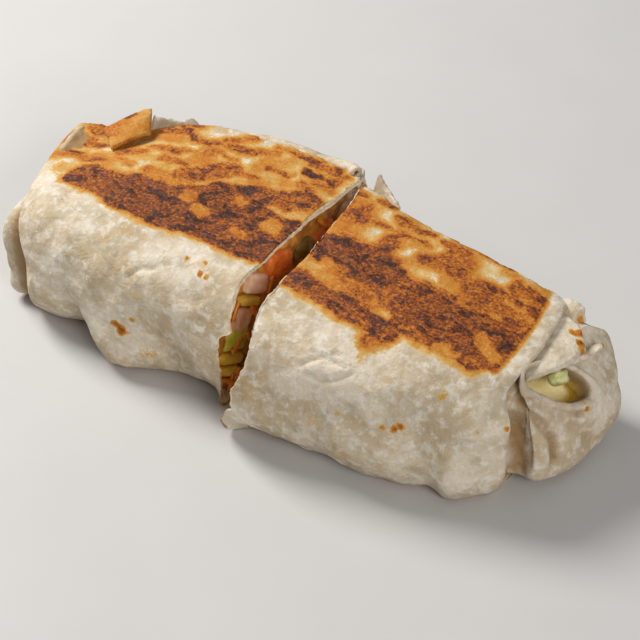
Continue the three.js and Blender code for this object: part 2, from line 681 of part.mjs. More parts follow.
function filling(side) {
  const { out } = SIDES[side];
  let solid = toSolid(loft(fillingLoops(side), side === "left"));
  const at = (y, z) => new THREE.Vector3(faceAt(side, y) + out * 0.2, y, z);
  SHREDS[side].forEach(([y0, z0, y1, z1], i) => {
    const sag = new THREE.Vector3(-out * 0.6, 0, i % 2 ? 0.8 : -0.8);
    solid = solid.add(toSolid(shred(at(y0, z0), at(y1, z1), sag, 2.2)));
  });
  PIECES[side].forEach((piece, i) => (solid = solid.subtract(pieceAt(side, piece, i, true))));
  return toGeometry(largestOf(solid));
}

// A slice of celery that pokes out of the mouth of the right end: place, size, turn about each axis.
const MOUTH_CELERY = { place: [82.6, 2.6, 29.7], size: [5, 8, 4.4], turn: [-34, -40, 0] };

function mouthCelery() {
  const { place, size, turn } = MOUTH_CELERY;
  const geometry = chunk(size, 311, 2.8);
  const [a, b, c] = turn.map(radians);
  geometry.rotateX(a).rotateY(b).rotateZ(c).translate(...place);
  return geometry;
}

// ---------------------------------------------------------------- the wrap
const group = new THREE.Group();
function addMesh(name, geometry, color, roughness) {
  const material = new THREE.MeshStandardMaterial({ color, roughness, metalness: 0 });
  const mesh = new THREE.Mesh(geometry, material);
  mesh.name = name;
  group.add(mesh);
}
for (const side of ["left", "right"]) {
  addMesh(`tortilla_${side}`, tortilla(side), 0xe6d3ae, 0.75);
  addMesh(`filling_${side}`, filling(side), 0xb98a3a, 0.55);
  const count = {};
  PIECES[side].forEach((piece, i) => {
    const name = piece[0];
    count[name] = (count[name] ?? 0) + 1;
    addMesh(`${name}_${side}_${count[name]}`, toGeometry(pieceAt(side, piece, i)), COLORS[name], 0.5);
  });
}
addMesh("celery_mouth", mouthCelery(), COLORS.celery, 0.5);
group.position.set(...CENTRE, 0);
export default group;
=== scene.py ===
import itertools
import math

import bpy
import numpy as np
from mathutils import Euler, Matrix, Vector


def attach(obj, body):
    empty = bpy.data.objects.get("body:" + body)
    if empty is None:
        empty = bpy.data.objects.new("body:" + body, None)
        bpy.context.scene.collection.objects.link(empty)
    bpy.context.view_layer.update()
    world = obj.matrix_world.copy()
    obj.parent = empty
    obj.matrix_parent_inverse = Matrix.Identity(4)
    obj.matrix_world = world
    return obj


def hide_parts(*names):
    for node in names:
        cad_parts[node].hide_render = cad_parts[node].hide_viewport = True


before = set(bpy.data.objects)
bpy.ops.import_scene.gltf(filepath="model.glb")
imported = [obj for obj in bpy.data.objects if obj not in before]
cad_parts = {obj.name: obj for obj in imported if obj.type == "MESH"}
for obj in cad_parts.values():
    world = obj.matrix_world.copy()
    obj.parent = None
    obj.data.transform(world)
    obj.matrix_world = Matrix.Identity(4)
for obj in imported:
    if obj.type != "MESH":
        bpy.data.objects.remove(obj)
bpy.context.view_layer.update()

# ---------------------------------------------------------------- the view and the light
# The wrap lies on a plain pale table under a large soft window light from behind on the left, with a weaker
# one from the front, and is looked at from the near right corner, from well above.
MM = 0.001
# Where the tables of the wrap have their own x 0 and y 0 in the frame: in the gap between the halves.
CENTRE = np.array([5.07, 1.81, 0.0])
AZIMUTH = math.radians(35.5)
ELEVATION = math.radians(39.5)
DISTANCE = 0.70
AIM = Vector(CENTRE + np.array([0.0, 0.0, 20.0])) * MM
LENS = 130.7
SHIFT = (4 / 640, -19 / 640)


def add_camera():
    data = bpy.data.cameras.new("view")
    data.lens = LENS
    data.sensor_width = 36.0
    data.shift_x, data.shift_y = SHIFT
    data.clip_start = 0.01
    camera = bpy.data.objects.new("view", data)
    back = Vector((
        math.sin(AZIMUTH) * math.cos(ELEVATION),
        -math.cos(AZIMUTH) * math.cos(ELEVATION),
        math.sin(ELEVATION),
    ))
    camera.location = AIM + back * DISTANCE
    camera.rotation_euler = back.to_track_quat("Z", "Y").to_euler()
    bpy.context.scene.collection.objects.link(camera)
    bpy.context.scene.camera = camera


def add_light(name, place, size, power, colour):
    data = bpy.data.lights.new(name, "AREA")
    data.shape = "DISK"
    data.size = size
    data.energy = power
    data.color = colour
    light = bpy.data.objects.new(name, data)
    light.location = place
    light.rotation_euler = (Vector(place) - AIM).to_track_quat("Z", "Y").to_euler()
    bpy.context.scene.collection.objects.link(light)


add_camera()
add_light("window", (-0.74, 0.06, 0.74), 0.45, 13.0, (1.0, 0.985, 0.96))
add_light("front", (0.98, -0.55, 0.72), 0.6, 8.0, (1.0, 0.98, 0.96))
world = bpy.data.worlds.new("room")
bpy.context.scene.world = world
world.use_nodes = True
world.node_tree.nodes["Background"].inputs["Color"].default_value = (0.90, 0.92, 0.95, 1.0)
world.node_tree.nodes["Background"].inputs["Strength"].default_value = 0.27
bpy.context.scene.view_settings.view_transform = "Standard"


# ---------------------------------------------------------------- the table
# A plain matt table top, pale grey, that the wrap lies on. It is one large square, only faintly clouded, so
# that nothing in it draws the eye. It needs the first material, so the shader sums are written here.
class Shade:
    """One output of a shader node, so that shader maths reads as plain sums."""

    def __init__(self, tree, socket):
        self.tree = tree
        self.socket = socket

    def node(self, kind, settings=None, sockets=None, output=0):
        """Adds a node: its settings first, then values or links for its sockets, by name or by place."""
        made = self.tree.nodes.new("ShaderNode" + kind)
        for key, value in (settings or {}).items():
            if key == "stops":
                while len(made.color_ramp.elements) < len(value):
                    made.color_ramp.elements.new(0.5)
                for element, (place, colour) in zip(made.color_ramp.elements, value):
                    element.position = place
                    element.color = (*colour, 1.0)
            else:
                setattr(made, key, value)
        for key, value in (sockets or {}).items():
            if isinstance(value, Shade):
                self.tree.links.new(value.socket, made.inputs[key])
            elif isinstance(value, tuple) and len(value) == 3 and made.inputs[key].type == "RGBA":
                made.inputs[key].default_value = (*value, 1.0)
            else:
                made.inputs[key].default_value = value
        return Shade(self.tree, made.outputs[output])

    def sum(self, operation, first, second=0.0):
        return self.node("Math", {"operation": operation}, {0: first, 1: second})

    def __add__(self, other):
        return self.sum("ADD", self, other)

    def __radd__(self, other):
        return self.sum("ADD", other, self)

    def __sub__(self, other):
        return self.sum("SUBTRACT", self, other)

    def __rsub__(self, other):
        return self.sum("SUBTRACT", other, self)

    def __mul__(self, other):
        return self.sum("MULTIPLY", self, other)

    def __rmul__(self, other):
        return self.sum("MULTIPLY", other, self)

    def between(self, low, high):
        """0 below low, 1 above high, smooth between; falls instead where low is the larger."""
        ends = {"From Min": low, "From Max": high, "To Min": 0.0, "To Max": 1.0}
        if low > high:
            ends = {"From Min": high, "From Max": low, "To Min": 1.0, "To Max": 0.0}
        return self.node("MapRange", {"interpolation_type": "SMOOTHSTEP"}, {"Value": self, **ends})

    def mix(self, first, second):
        """The first colour where this is 0, the second where it is 1."""
        return self.node("Mix", {"data_type": "RGBA"}, {0: self, 6: first, 7: second}, 2)

    def noise(self, size, detail=3.0, rough=0.5, warp=0.0):
        """Cloudy noise from 0 to 1 with lumps of a size in millimetres, on this place."""
        sockets = {"Vector": self, "Scale": 1.0 / size, "Detail": detail, "Roughness": rough}
        return self.node("TexNoise", None, {**sockets, "Distortion": warp})


def new_material(name):
    """A bare material with a surface shader, and its place in millimetres to start from."""
    material = bpy.data.materials.new(name)
    material.use_nodes = True
    tree = material.node_tree
    surface = tree.nodes["Principled BSDF"]
    place = Shade(tree, tree.nodes.new("ShaderNodeTexCoord").outputs["Object"])
    place = place.node("VectorMath", {"operation": "SCALE"}, {0: place, "Scale": 1.0 / MM})
    return material, surface, place


def finish_surface(surface, constants, linked):
    """Sets the surface's constant sockets, and links those that vary."""
    for name, value in constants.items():
        surface.inputs[name].default_value = value
    for name, shade in linked.items():
        shade.tree.links.new(shade.socket, surface.inputs[name])


def bumps(place, *layers):
    """A normal from layers of (height shade, strength, depth in millimetres)."""
    normal = None
    for height, strength, depth in layers:
        sockets = {"Height": height, "Strength": strength, "Distance": depth * MM}
        if normal:
            sockets["Normal"] = normal
        normal = place.node("Bump", None, sockets)
    return normal


def table_material():
    material, surface, place = new_material("table")
    grain = place.noise(40.0, 2.0)
    colour = grain.mix((0.50, 0.49, 0.475), (0.54, 0.53, 0.515))
    finish_surface(surface, {"Roughness": 0.6}, {"Base Color": colour})
    return material


TABLE_REACH = 3.0


def add_table():
    mesh = bpy.data.meshes.new("table")
    corners = [(TABLE_REACH * x, TABLE_REACH * y, 0) for x, y in ((-1, -1), (1, -1), (1, 1), (-1, 1))]
    mesh.from_pydata(corners, [], [(0, 1, 2, 3)])
    mesh.materials.append(table_material())
    table = bpy.data.objects.new("table", mesh)
    bpy.context.scene.collection.objects.link(table)


add_table()

# ---------------------------------------------------------------- tortilla
# A large flour tortilla, 2 mm thick, is rolled once and a half round the filling with its ends folded in, is
# toasted on a griddle and cut across, so each half is an open shell with a closed end. Each is a loft
# through rings, from the bottom of its cavity, over the cut edge and along the skin to the end.
LAYER = 2.2
LAP = 1.7
AROUND = 320
RING_STEP = 0.72
END_STEP = 0.55

# A ring is where its centre lies, its half width and half height, and
#   press: how much the griddle flattened its top,      lean: how far its top lies behind its foot,
#   shear: how far its back lies ahead of its front,    bow: how far its sides trail its middle,
#   tilt: how far it leans back to face the sky,        spin: its turn in its own plane,
#   gather: how much of the pleats it shows,            fill, slide: how far its foot at the front swells
#   and moves outwards, where the outer layer is folded in with the rest and has no rim,
#   corner: how square it is, from 2, an ellipse,       raised: how much of the skin's swellings it shows,
#   stain_and_shading: how much hot sauce and fat have soaked into it, and how far painted shade darkens
#   it in the grooves and valleys of the ends; above 1 it is wet and ochre.
PLAIN = {
    "x": 0, "y": 0, "z": 20, "w": 40, "h": 24, "press": 0, "lean": 0, "shear": 0, "bow": 0,
    "tilt": 0, "spin": 0, "gather": 0, "fill": 0, "slide": 0, "corner": 3.3, "raised": 1, "stain_and_shading": 0,
}
KEYS = list(PLAIN)
LEFT_BODY = [
    dict(x=-8, y=3.3, z=20, w=43.0, h=24.5, press=2.2, lean=0.12),
    dict(x=-24, y=3.4, z=20, w=42.6, h=24.6, press=2.2, lean=0.12),
    dict(x=-42, y=1.6, z=20, w=43.0, h=24.6, press=2.2, lean=0.12),
    dict(x=-58, y=0.0, z=19.8, w=41.0, h=24.2, press=2.0, lean=0.12, shear=-0.02),
    dict(x=-71, y=-2.2, z=19.6, w=37.6, h=23.6, press=1.8, lean=0.1, shear=-0.07),
    dict(x=-82, y=-4.4, z=19.2, w=35.0, h=22.6, press=1.4, lean=0.06, shear=-0.14),
    dict(x=-90, y=-5.4, z=18.9, w=33.2, h=21.4, press=1.0, lean=0.04, shear=-0.21, slide=-1.6),
]
# The stain of the groove rows of the tucked end is painted shade in the groove, mixed with soaked-in sauce.
LEFT_END = [
    dict(x=-94.4, y=-5.8, z=18.6, w=31.8, h=20.4, press=0.7, lean=0.02, shear=-0.285, slide=-2.9),
    dict(x=-96.0, y=-5.8, z=18.6, w=30.6, h=19.4, press=0.4, shear=-0.29, slide=-3.6),
    dict(x=-95.6, y=-5.8, z=18.5, w=29.4, h=18.2, press=0.2, shear=-0.285, slide=-3.7, raised=0, stain_and_shading=0.7),
    dict(
        x=-91.0, y=-6.0, z=18.2, w=28.4, h=17.4, tilt=3, shear=-0.2, bow=-0.8, slide=-3.0,
        raised=0, stain_and_shading=1,
    ),
    dict(
        x=-88.8, y=-6.0, z=17.9, w=29.0, h=17.4, tilt=6, shear=-0.12, bow=-3.4, gather=0.5,
        slide=-0.6, raised=0, stain_and_shading=0.8,
    ),
    dict(
        x=-90.6, y=-6.0, z=17.6, w=28.6, h=16.8, tilt=8, shear=-0.06, bow=-4.2, gather=0.9,
        slide=0.2, raised=0,
    ),
    dict(
        x=-91.6, y=-6.0, z=17.2, w=26.4, h=15.2, tilt=8, shear=-0.04, bow=-4.6, gather=1,
        slide=0.6, raised=0,
    ),
    dict(
        x=-91.2, y=-6.2, z=17.0, w=23.4, h=12.0, tilt=7, shear=-0.04, bow=-3.6, gather=1,
        slide=0.4, raised=0,
    ),
    dict(x=-89.8, y=-6.6, z=17.0, w=17.6, h=6.4, tilt=4, bow=-1.4, gather=0.6, raised=0),
    dict(x=-87.0, y=-7.0, z=16.8, w=12.0, h=2.4, raised=0),
]
RIGHT_BODY = [
    dict(x=1, y=-6.8, z=20, w=42.2, h=24.4, press=2.2, lean=0.12, shear=-0.11),
    dict(x=16, y=-6.0, z=20, w=40.6, h=24.6, press=2.2, lean=0.12, shear=-0.03),
    dict(x=33, y=-5.2, z=20, w=38.6, h=24.6, press=2.2, lean=0.12),
    dict(x=48, y=-4.0, z=19.8, w=36.2, h=24.2, press=2.1, lean=0.12),
    dict(x=59, y=-2.4, z=19.5, w=33.8, h=23.8, press=1.9, lean=0.1),
    dict(x=69, y=-0.6, z=19.0, w=31.8, h=22.8, press=1.6, lean=0.08, shear=-0.08, bow=1.6),
]
# The stain of the valley rows below the rim is painted shade; the rows inside the mouth are wet and ochre.
RIGHT_END = [
    dict(
        x=75.4, y=1.2, z=18.6, w=29.8, h=21.8, press=1.2, lean=0.06, shear=-0.12, bow=4, fill=-0.6,
        slide=3.0,
    ),
    dict(
        x=77.0, y=2.0, z=18.6, w=28.4, h=20.8, press=0.9, lean=0.05, shear=-0.12, bow=4, fill=-3.6,
        slide=4.6,
    ),
    dict(
        x=76.6, y=2.6, z=18.6, w=26.6, h=19.2, press=0.6, shear=-0.12, bow=3.6, fill=-3.8,
        slide=4.4, raised=0, stain_and_shading=0.5,
    ),
    dict(
        x=72.6, y=3.4, z=18.4, w=25.2, h=17.6, press=0.3, gather=0.1, fill=-2.4, slide=4.0,
        raised=0, stain_and_shading=0.9,
    ),
    dict(
        x=75.0, y=4.2, z=18.2, w=25.2, h=17.8, tilt=4, gather=0.3, fill=-0.6, slide=3.0, raised=0,
        stain_and_shading=0.8,
    ),
    dict(
        x=80.4, y=5.2, z=18.2, w=24.6, h=17.8, tilt=8, gather=0.7, slide=0.6, bow=1.4, shear=0.04,
        corner=3.0, raised=0, stain_and_shading=0.3,
    ),
    dict(
        x=85.6, y=6.4, z=17.9, w=22.8, h=16.8, tilt=22, spin=-2, gather=1, bow=2.0, shear=0.07,
        corner=3.8, raised=0,
    ),
    dict(
        x=86.8, y=5.8, z=21.2, w=20.6, h=14.2, tilt=31, spin=-10, gather=0.8, bow=1.8, shear=0.08,
        raised=0,
    ),
    dict(
        x=86.0, y=2.8, z=24.9, w=18.2, h=10.2, tilt=37, spin=-30, gather=0.5, shear=0.06,
        corner=2.4, raised=0,
    ),
    dict(x=85.2, y=-0.4, z=28.6, w=16.0, h=7.8, tilt=40, spin=-40, gather=0.2, corner=2.2, raised=0),
    dict(x=84.8, y=-0.6, z=30.4, w=14.6, h=6.6, tilt=40, spin=-42, gather=0.1, corner=2, raised=0),
    dict(x=84.2, y=-0.4, z=30.4, w=13.2, h=5.4, tilt=40, spin=-42, corner=2, raised=0, stain_and_shading=0.3),
    dict(x=80.6, y=-0.2, z=27.6, w=12.6, h=4.8, tilt=40, spin=-42, corner=2, raised=0, stain_and_shading=1.3),
    dict(x=76.0, y=0.2, z=23.6, w=11.6, h=4.4, tilt=40, spin=-42, corner=2, raised=0, stain_and_shading=2),
    dict(x=72.0, y=0.4, z=20.2, w=7.6, h=2.8, tilt=40, spin=-42, corner=2, raised=0, stain_and_shading=2),
]
SIDES = {
    "left": {"body": LEFT_BODY, "end": LEFT_END, "out": -1, "cavity_end": 76},
    "right": {"body": RIGHT_BODY, "end": RIGHT_END, "out": 1, "cavity_end": 62},
}


def smooth(low, high, value):
    """0 up to low, 1 from high on, smooth between; low may be the larger, and then it falls."""
    t = np.clip((value - low) / (high - low), 0.0, 1.0)
    return t * t * (3 - 2 * t)


def bell(distance):
    return np.exp(-distance * distance)


def apart(a, b):
    """The shortest way round from one angle to another, in degrees."""
    return (a - b + 180.0) % 360.0 - 180.0


def angles_round(count):
    """Even steps once round a ring, in degrees, as one row."""
    return np.arange(count)[None, :] * (360.0 / count)


# How many lumps there are along each axis before they repeat.
LUMP_CELLS = 32


def lumps(points, size, seed):
    """Smooth lumps from -1 to 1, of a size in millimetres, at each point."""
    table = np.random.default_rng(seed).uniform(-1.0, 1.0, (LUMP_CELLS,) * 3)
    place = np.asarray(points) / size + 1000.0
    cell = np.floor(place).astype(int)
    t = place - cell
    t = t * t * (3 - 2 * t)
    total = 0.0
    for step in itertools.product((0, 1), repeat=3):
        share = np.prod(np.where(np.array(step) == 1, t, 1 - t), axis=-1)
        corner = (cell + np.array(step)) % LUMP_CELLS
        total = total + share * table[corner[..., 0], corner[..., 1], corner[..., 2]]
    return total


def layered(points, *layers):
    """Lumps in layers, each of a height, a size in millimetres and a seed."""
    return sum(height * lumps(points, size, seed) for height, size, seed in layers)


def knot_slopes(knots, values):
    """Slopes at the knots of a curve that never overshoots its values."""
    steps = np.diff(knots)
    rises = np.diff(values) / steps
    slopes = np.zeros(len(values))
    slopes[0], slopes[-1] = rises[0], rises[-1]
    for i in range(1, len(values) - 1):
        if rises[i - 1] * rises[i] > 0:
            before = 2 * steps[i] + steps[i - 1]
            after = steps[i] + 2 * steps[i - 1]
            slopes[i] = (before + after) / (before / rises[i - 1] + after / rises[i])
    return slopes


def fill_rings(rows, step):
    """Rings between the given ones, about a step apart, as one row of sizes for each ring."""
    sizes = np.array([[{**PLAIN, **row}[key] for key in KEYS] for row in rows], float)
    x, z, w, h = (sizes[:, KEYS.index(key)] for key in "xzwh")
    spread = np.maximum(abs(np.diff(w)), abs(np.diff(h)))
    lengths = np.sqrt(np.diff(x) ** 2 + np.diff(z) ** 2 + spread ** 2)
    knots = np.concatenate([[0], np.cumsum(lengths)])
    slopes = np.stack([knot_slopes(knots, column) for column in sizes.T], axis=1)
    filled = []
    for i, length in enumerate(lengths):
        pieces = max(1, round(length / step))
        t = (np.arange(pieces) / pieces)[:, None]
        filled.append(
            sizes[i] * (1 + 2 * t) * (1 - t) ** 2
            + slopes[i] * length * t * (1 - t) ** 2
            + sizes[i + 1] * t * t * (3 - 2 * t)
            + slopes[i + 1] * length * t * t * (t - 1)
        )
    return np.concatenate(filled + [sizes[-1:]])


# What is left of the height that the griddle pressed down.
PRESSED_SHARE = 0.12


def ring_points(rings, turn, inset=0.0, swell=0.0):
    """Points of rings at angles from +Y over the top, inset from the skin and swollen by the relief."""
    at = {key: rings[:, i][:, None] for i, key in enumerate(KEYS)}
    c, s = np.cos(np.radians(turn)), np.sin(np.radians(turn))
    k = (abs(c) ** at["corner"] + abs(s) ** at["corner"]) ** (-1 / at["corner"])
    outwards = np.sign(at["x"])
    folded_right = smooth(126, 154, turn) * smooth(240, 208, turn)
    folded_left = smooth(135, 180, turn) * smooth(255, 215, turn)
    folded = np.where(outwards > 0, folded_right, folded_left)
    swell = swell + at["fill"] * folded
    across = (np.maximum(at["w"] - inset, 0.2) + swell) * k * c
    up = (np.maximum(at["h"] - inset, 0.2) + swell) * k * s
    ceiling = at["h"] - at["press"] - inset + swell
    up = np.where((at["press"] > 0) & (up > ceiling), ceiling + (up - ceiling) * PRESSED_SHARE, up)
    across = across + at["lean"] * up
    spin = np.radians(at["spin"])
    across, up = across * np.cos(spin) - up * np.sin(spin), across * np.sin(spin) + up * np.cos(spin)
    tilt = np.radians(at["tilt"])
    trail = outwards * at["bow"] * (across / at["w"]) ** 2
    x = at["x"] - up * np.sin(tilt) + at["shear"] * across - trail + outwards * at["slide"] * folded
    z = np.maximum(at["z"] + up * np.cos(tilt), inset)
    return np.stack(np.broadcast_arrays(x, at["y"] + across, z), axis=-1)


# Swellings and dents where the filling pushes the skin out or leaves it slack: x, angle round, reach along,
# reach round in degrees, height.
RELIEF = {
    "left": [
        (-47, 208, 11, 24, 2.4), (-27, 202, 9, 22, -1.8), (-64, 200, 7, 22, -1.8), (-80, 196, 9, 22, 1.2),
        (-26, 158, 12, 14, 1.0), (-60, 20, 14, 30, 1.4), (-30, 350, 10, 26, -1.4), (-12, 192, 6, 20, 0.8),
        (-32, 34, 22, 16, 1.6), (-13, 38, 8, 12, 1.2), (-7, 218, 3, 12, 4.2), (-87, 66, 14, 26, -4.4),
    ],
    "right": [
        (29, 172, 11, 12, -2.6), (14, 196, 11, 18, 1.4), (45, 190, 12, 20, 1.6), (62, 205, 5, 24, -1.8),
        (70, 214, 5, 20, 2.0), (30, 350, 14, 30, 1.6), (58, 10, 10, 24, -1.4), (4, 204, 5, 24, 1.2),
        (-1, 222, 4, 12, 2.4), (3, 42, 9, 15, 2.6),
    ],
}
# The free edge of the outer layer on the back of the top: x and the angle round, from the cut outwards.
SEAM = {
    "left": ((8, 50, 80, 100), (54, 52, 50, 48)),
    "right": ((1, 24, 42, 58, 77), (44, 49, 50, 50, 46)),
}
# How high the step at that edge is.
SEAM_STEP = 0.8 * LAP
# Pleats that gather the ends: angle round, half width in degrees, depth.
PLEATS = {
    "left": [
        (182, 8, 0.4), (206, 6, 0.8), (222, 15, -3.8), (262, 8, 1.4), (300, 10, 2.0), (340, 8, 1.8),
        (30, 10, 1.8), (80, 9, 1.2),
    ],
    "right": [(202, 10, 0.6), (220, 14, -1.2), (300, 12, 0.8), (18, 15, -3.6)],
}
# Torn tabs and nicks of the cut edge: angle round, half width in degrees, how far it lies from true.
TEARS = {
    "left": [
        (146, 10, 2.2), (155, 4, 3.2), (196, 22, 1.8), (120, 8, 0.8), (84, 9, -0.8), (52, 5, 0.8),
        (34, 12, -5.0), (12, 16, -5.0), (330, 16, -2.0),
    ],
    "right": [
        (150, 16, 3.2), (214, 20, -5.6), (176, 4, -0.9), (190, 4, 0.8), (96, 9, 0.8), (48, 6, -1.2),
        (340, 12, 0.9),
    ],
}
# How far parts of the rim stand out along the wrap: angle round, half width in degrees, length.
RIM = {"left": [(72, 34, -2.8)], "right": []}
# How far the foot of the front is tucked in under the wrap: x, depth. It is deepest at FOOT_TURN round.
FOOT_TURN = 216
FOOT_HALF_WIDTH = 22
FOOT = {
    "left": ((8, 20, 30, 36, 47, 56, 64, 74, 88, 100), (2.6, 1.8, 0.4, 0.0, 0.2, 2.2, 3.6, 1.6, 0.2, -0.6)),
    "right": ((1, 8, 16, 24, 36, 48, 58, 66, 70, 77), (2.6, 3.2, 3.0, 2.4, 1.8, 1.2, 0.4, 0.6, 1.0, 0.6)),
}


def seam_turn(side, x):
    """The angle round at which the outer layer's free edge lies, ragged along its length."""
    edge = np.interp(abs(x), *SEAM[side])
    ragged = np.stack([x, x * 0, x * 0], axis=-1)
    return edge + layered(ragged, (1.2, 5.0, 71), (0.5, 1.6, 72))


def relief(side, x, turn):
    """How far the skin swells at each place, with the tuck of its foot and the step at the free edge."""
    height = 0.0
    for at_x, at_turn, reach_x, reach_turn, rise in RELIEF[side]:
        height = height + rise * bell((x - at_x) / reach_x) * bell(apart(turn, at_turn) / reach_turn)
    height = height - np.interp(abs(x), *FOOT[side]) * bell(apart(turn, FOOT_TURN) / FOOT_HALF_WIDTH)
    edge = seam_turn(side, x)
    behind = apart(turn, 0.0)
    return height - SEAM_STEP * smooth(edge + 0.5, edge - 0.5, behind) * smooth(-70, -20, behind)


def total_of(bells, turn):
    """The sum of bells round the wrap, given as angle, half width and height."""
    return sum((height * bell(apart(turn, at) / half) for at, half, height in bells), np.zeros_like(turn))


def wall(turn):
    """How thick the wall is round the cut: two layers over the top and the back, one elsewhere."""
    over = np.where(turn > 300, 0.0, turn)
    return LAYER + LAP * smooth(-40, 0, apart(turn, 0)) * smooth(150, 125, over)


def wall_near_cut(turn, deep):
    """How thick the wall is a little way in from the cut, where the knife pressed the layers thin."""
    pressed = 0.9 + 1.5 * smooth(112, 70, np.where(turn > 300, 0.0, turn))
    return pressed + (wall(turn) - pressed) * smooth(0.0, 9.0, deep)


def closed_loft(loops, mirrored):
    """A closed skin through loops of points, each end drawn in to the middle of its last loop."""
    loops = np.asarray(loops)
    count, around = loops.shape[:2]
    points = np.concatenate([loops.reshape(-1, 3), loops[0].mean(0)[None], loops[-1].mean(0)[None]])
    j = np.arange(around)
    k = (j + 1) % around
    rows = np.arange(count - 1)[:, None] * around
    quads = np.stack([rows + j, rows + k, rows + around + k, rows + around + j], axis=-1).reshape(-1, 4)
    first = np.stack([np.full(around, len(points) - 2), k, j], axis=-1)
    end = (count - 1) * around
    last = np.stack([np.full(around, len(points) - 1), end + j, end + k], axis=-1)
    faces = [*quads.tolist(), *first.tolist(), *last.tolist()]
    if mirrored:
        faces = [face[::-1] for face in faces]
    return points, faces


def grid_normals(loops, side):
    """Outward-facing directions of a grid of loops, which follow each other the other way on the left."""
    along = np.gradient(loops, axis=0)
    over = np.roll(loops, -1, axis=1) - np.roll(loops, 1, axis=1)
    normal = np.cross(over, along) * (-1 if side == "left" else 1)
    return normal / np.maximum(np.linalg.norm(normal, axis=-1, keepdims=True), 1e-9)


# The rings of the skin that the cavity shares, closer together near the cut.
CAVITY_RINGS = (0, 1, 2, 4, 6, 9, 13, 18, 25, 34, 46, 60, 76, 94)
# The cut edge's two layers: how far across the layer each line of points lies, and how far in from the cut.
INNER_LAYER = ((0.1, 0.0), (0.3, -0.18), (0.6, -0.2), (0.85, -0.05), (1.0, 0.25))
OUTER_LAYER = ((0.0, 0.3), (0.12, -0.05), (0.35, -0.22), (0.65, -0.22), (0.88, -0.04))
BETWEEN_LAYERS = 0.9
# Where the outer layer ends and the inner one begins, as a share of the wall.
SPLIT = 0.52
# The bottom of the cavity: how far it bulges past the last ring, and how far in from the skin its rim lies.
BOTTOM_BULGE = 4
BOTTOM_INSET = 12.0
# How far along the wrap a tear, and a stretch of rim that stands out, are felt.
TEAR_REACH = 9
RIM_REACH = 16


def skin_loops(side):
    """Loops of one half's shell: cavity, cut edge and skin, how stained or painted with shade the skin is,
    and its rim's row.
    """
    spec = SIDES[side]
    turn = angles_round(AROUND)
    outer = fill_rings([*spec["body"], spec["end"][0]], RING_STEP)[:-1]
    end = fill_rings(spec["end"], END_STEP)
    cut = outer[0, 0]

    picks = [i for i in CAVITY_RINGS if i < len(outer) and abs(outer[i, 0]) < spec["cavity_end"]]
    inner = outer[picks][::-1]

    def at(rings, inset):
        points = ring_points(rings, turn, inset, relief(side, rings[:, :1], turn))
        points[..., 0] += total_of(TEARS[side], turn) * bell((rings[:, :1] - cut) / TEAR_REACH)
        points[..., 0] += total_of(RIM[side], turn) * bell((rings[:, :1] - end[0, 0]) / RIM_REACH)
        return points

    bottom = inner[:1].copy()
    bottom[0, 0] += spec["out"] * BOTTOM_BULGE
    sides = at(inner, wall_near_cut(turn, abs(inner[:, :1] - cut)))
    cavity = np.concatenate([at(bottom, BOTTOM_INSET), sides])

    thick = wall_near_cut(turn, 0.0)
    doubled = smooth(1.6, 2.2, thick)
    split = thick * SPLIT
    edge_loops = []
    for share, sunk in INNER_LAYER:
        edge_loops.append((thick + (split + 0.15 - thick) * share, sunk))
    edge_loops.append((np.full_like(thick, split), BETWEEN_LAYERS))
    for share, sunk in OUTER_LAYER:
        edge_loops.append(((split - 0.15) * (1 - share), sunk))
    edge = []
    for inset, sunk in edge_loops:
        loop = at(outer[:1], inset)
        depth = np.where(np.full_like(thick, sunk) > 0.2, sunk * doubled, sunk)
        rough = layered(loop, (0.3, 1.7, 81), (0.25, 0.8, 82))
        loop[..., 0] += spec["out"] * (depth + rough)
        edge.append(loop)
    edge = np.concatenate(edge)

    pleats = total_of([(a, half, -depth) for a, half, depth in PLEATS[side]], turn)
    gather = end[:, KEYS.index("gather")][:, None]
    raised = end[:, KEYS.index("raised")][:, None]
    tail = ring_points(end, turn, 0.0, raised * relief(side, end[:, :1], turn) + gather * pleats)
    tail[..., 0] += raised * total_of(RIM[side], turn)
    skin = np.concatenate([at(outer, 0.0), tail])
    stain_and_shading = np.concatenate([np.zeros(len(outer)), end[:, KEYS.index("stain_and_shading")]])
    return cavity, edge, skin, np.repeat(stain_and_shading[:, None], AROUND, axis=1), len(outer)


def distance_to(points, line):
    """How far points are from a line through given places."""
    line = np.asarray(line, float)
    best = np.full(points.shape[:-1], np.inf)
    for a, b in zip(line[:-1], line[1:]):
        along = b - a
        t = np.clip(((points - a) @ along) / max(along @ along, 1e-9), 0, 1)
        best = np.minimum(best, np.linalg.norm(points - (a + t[..., None] * along), axis=-1))
    return best


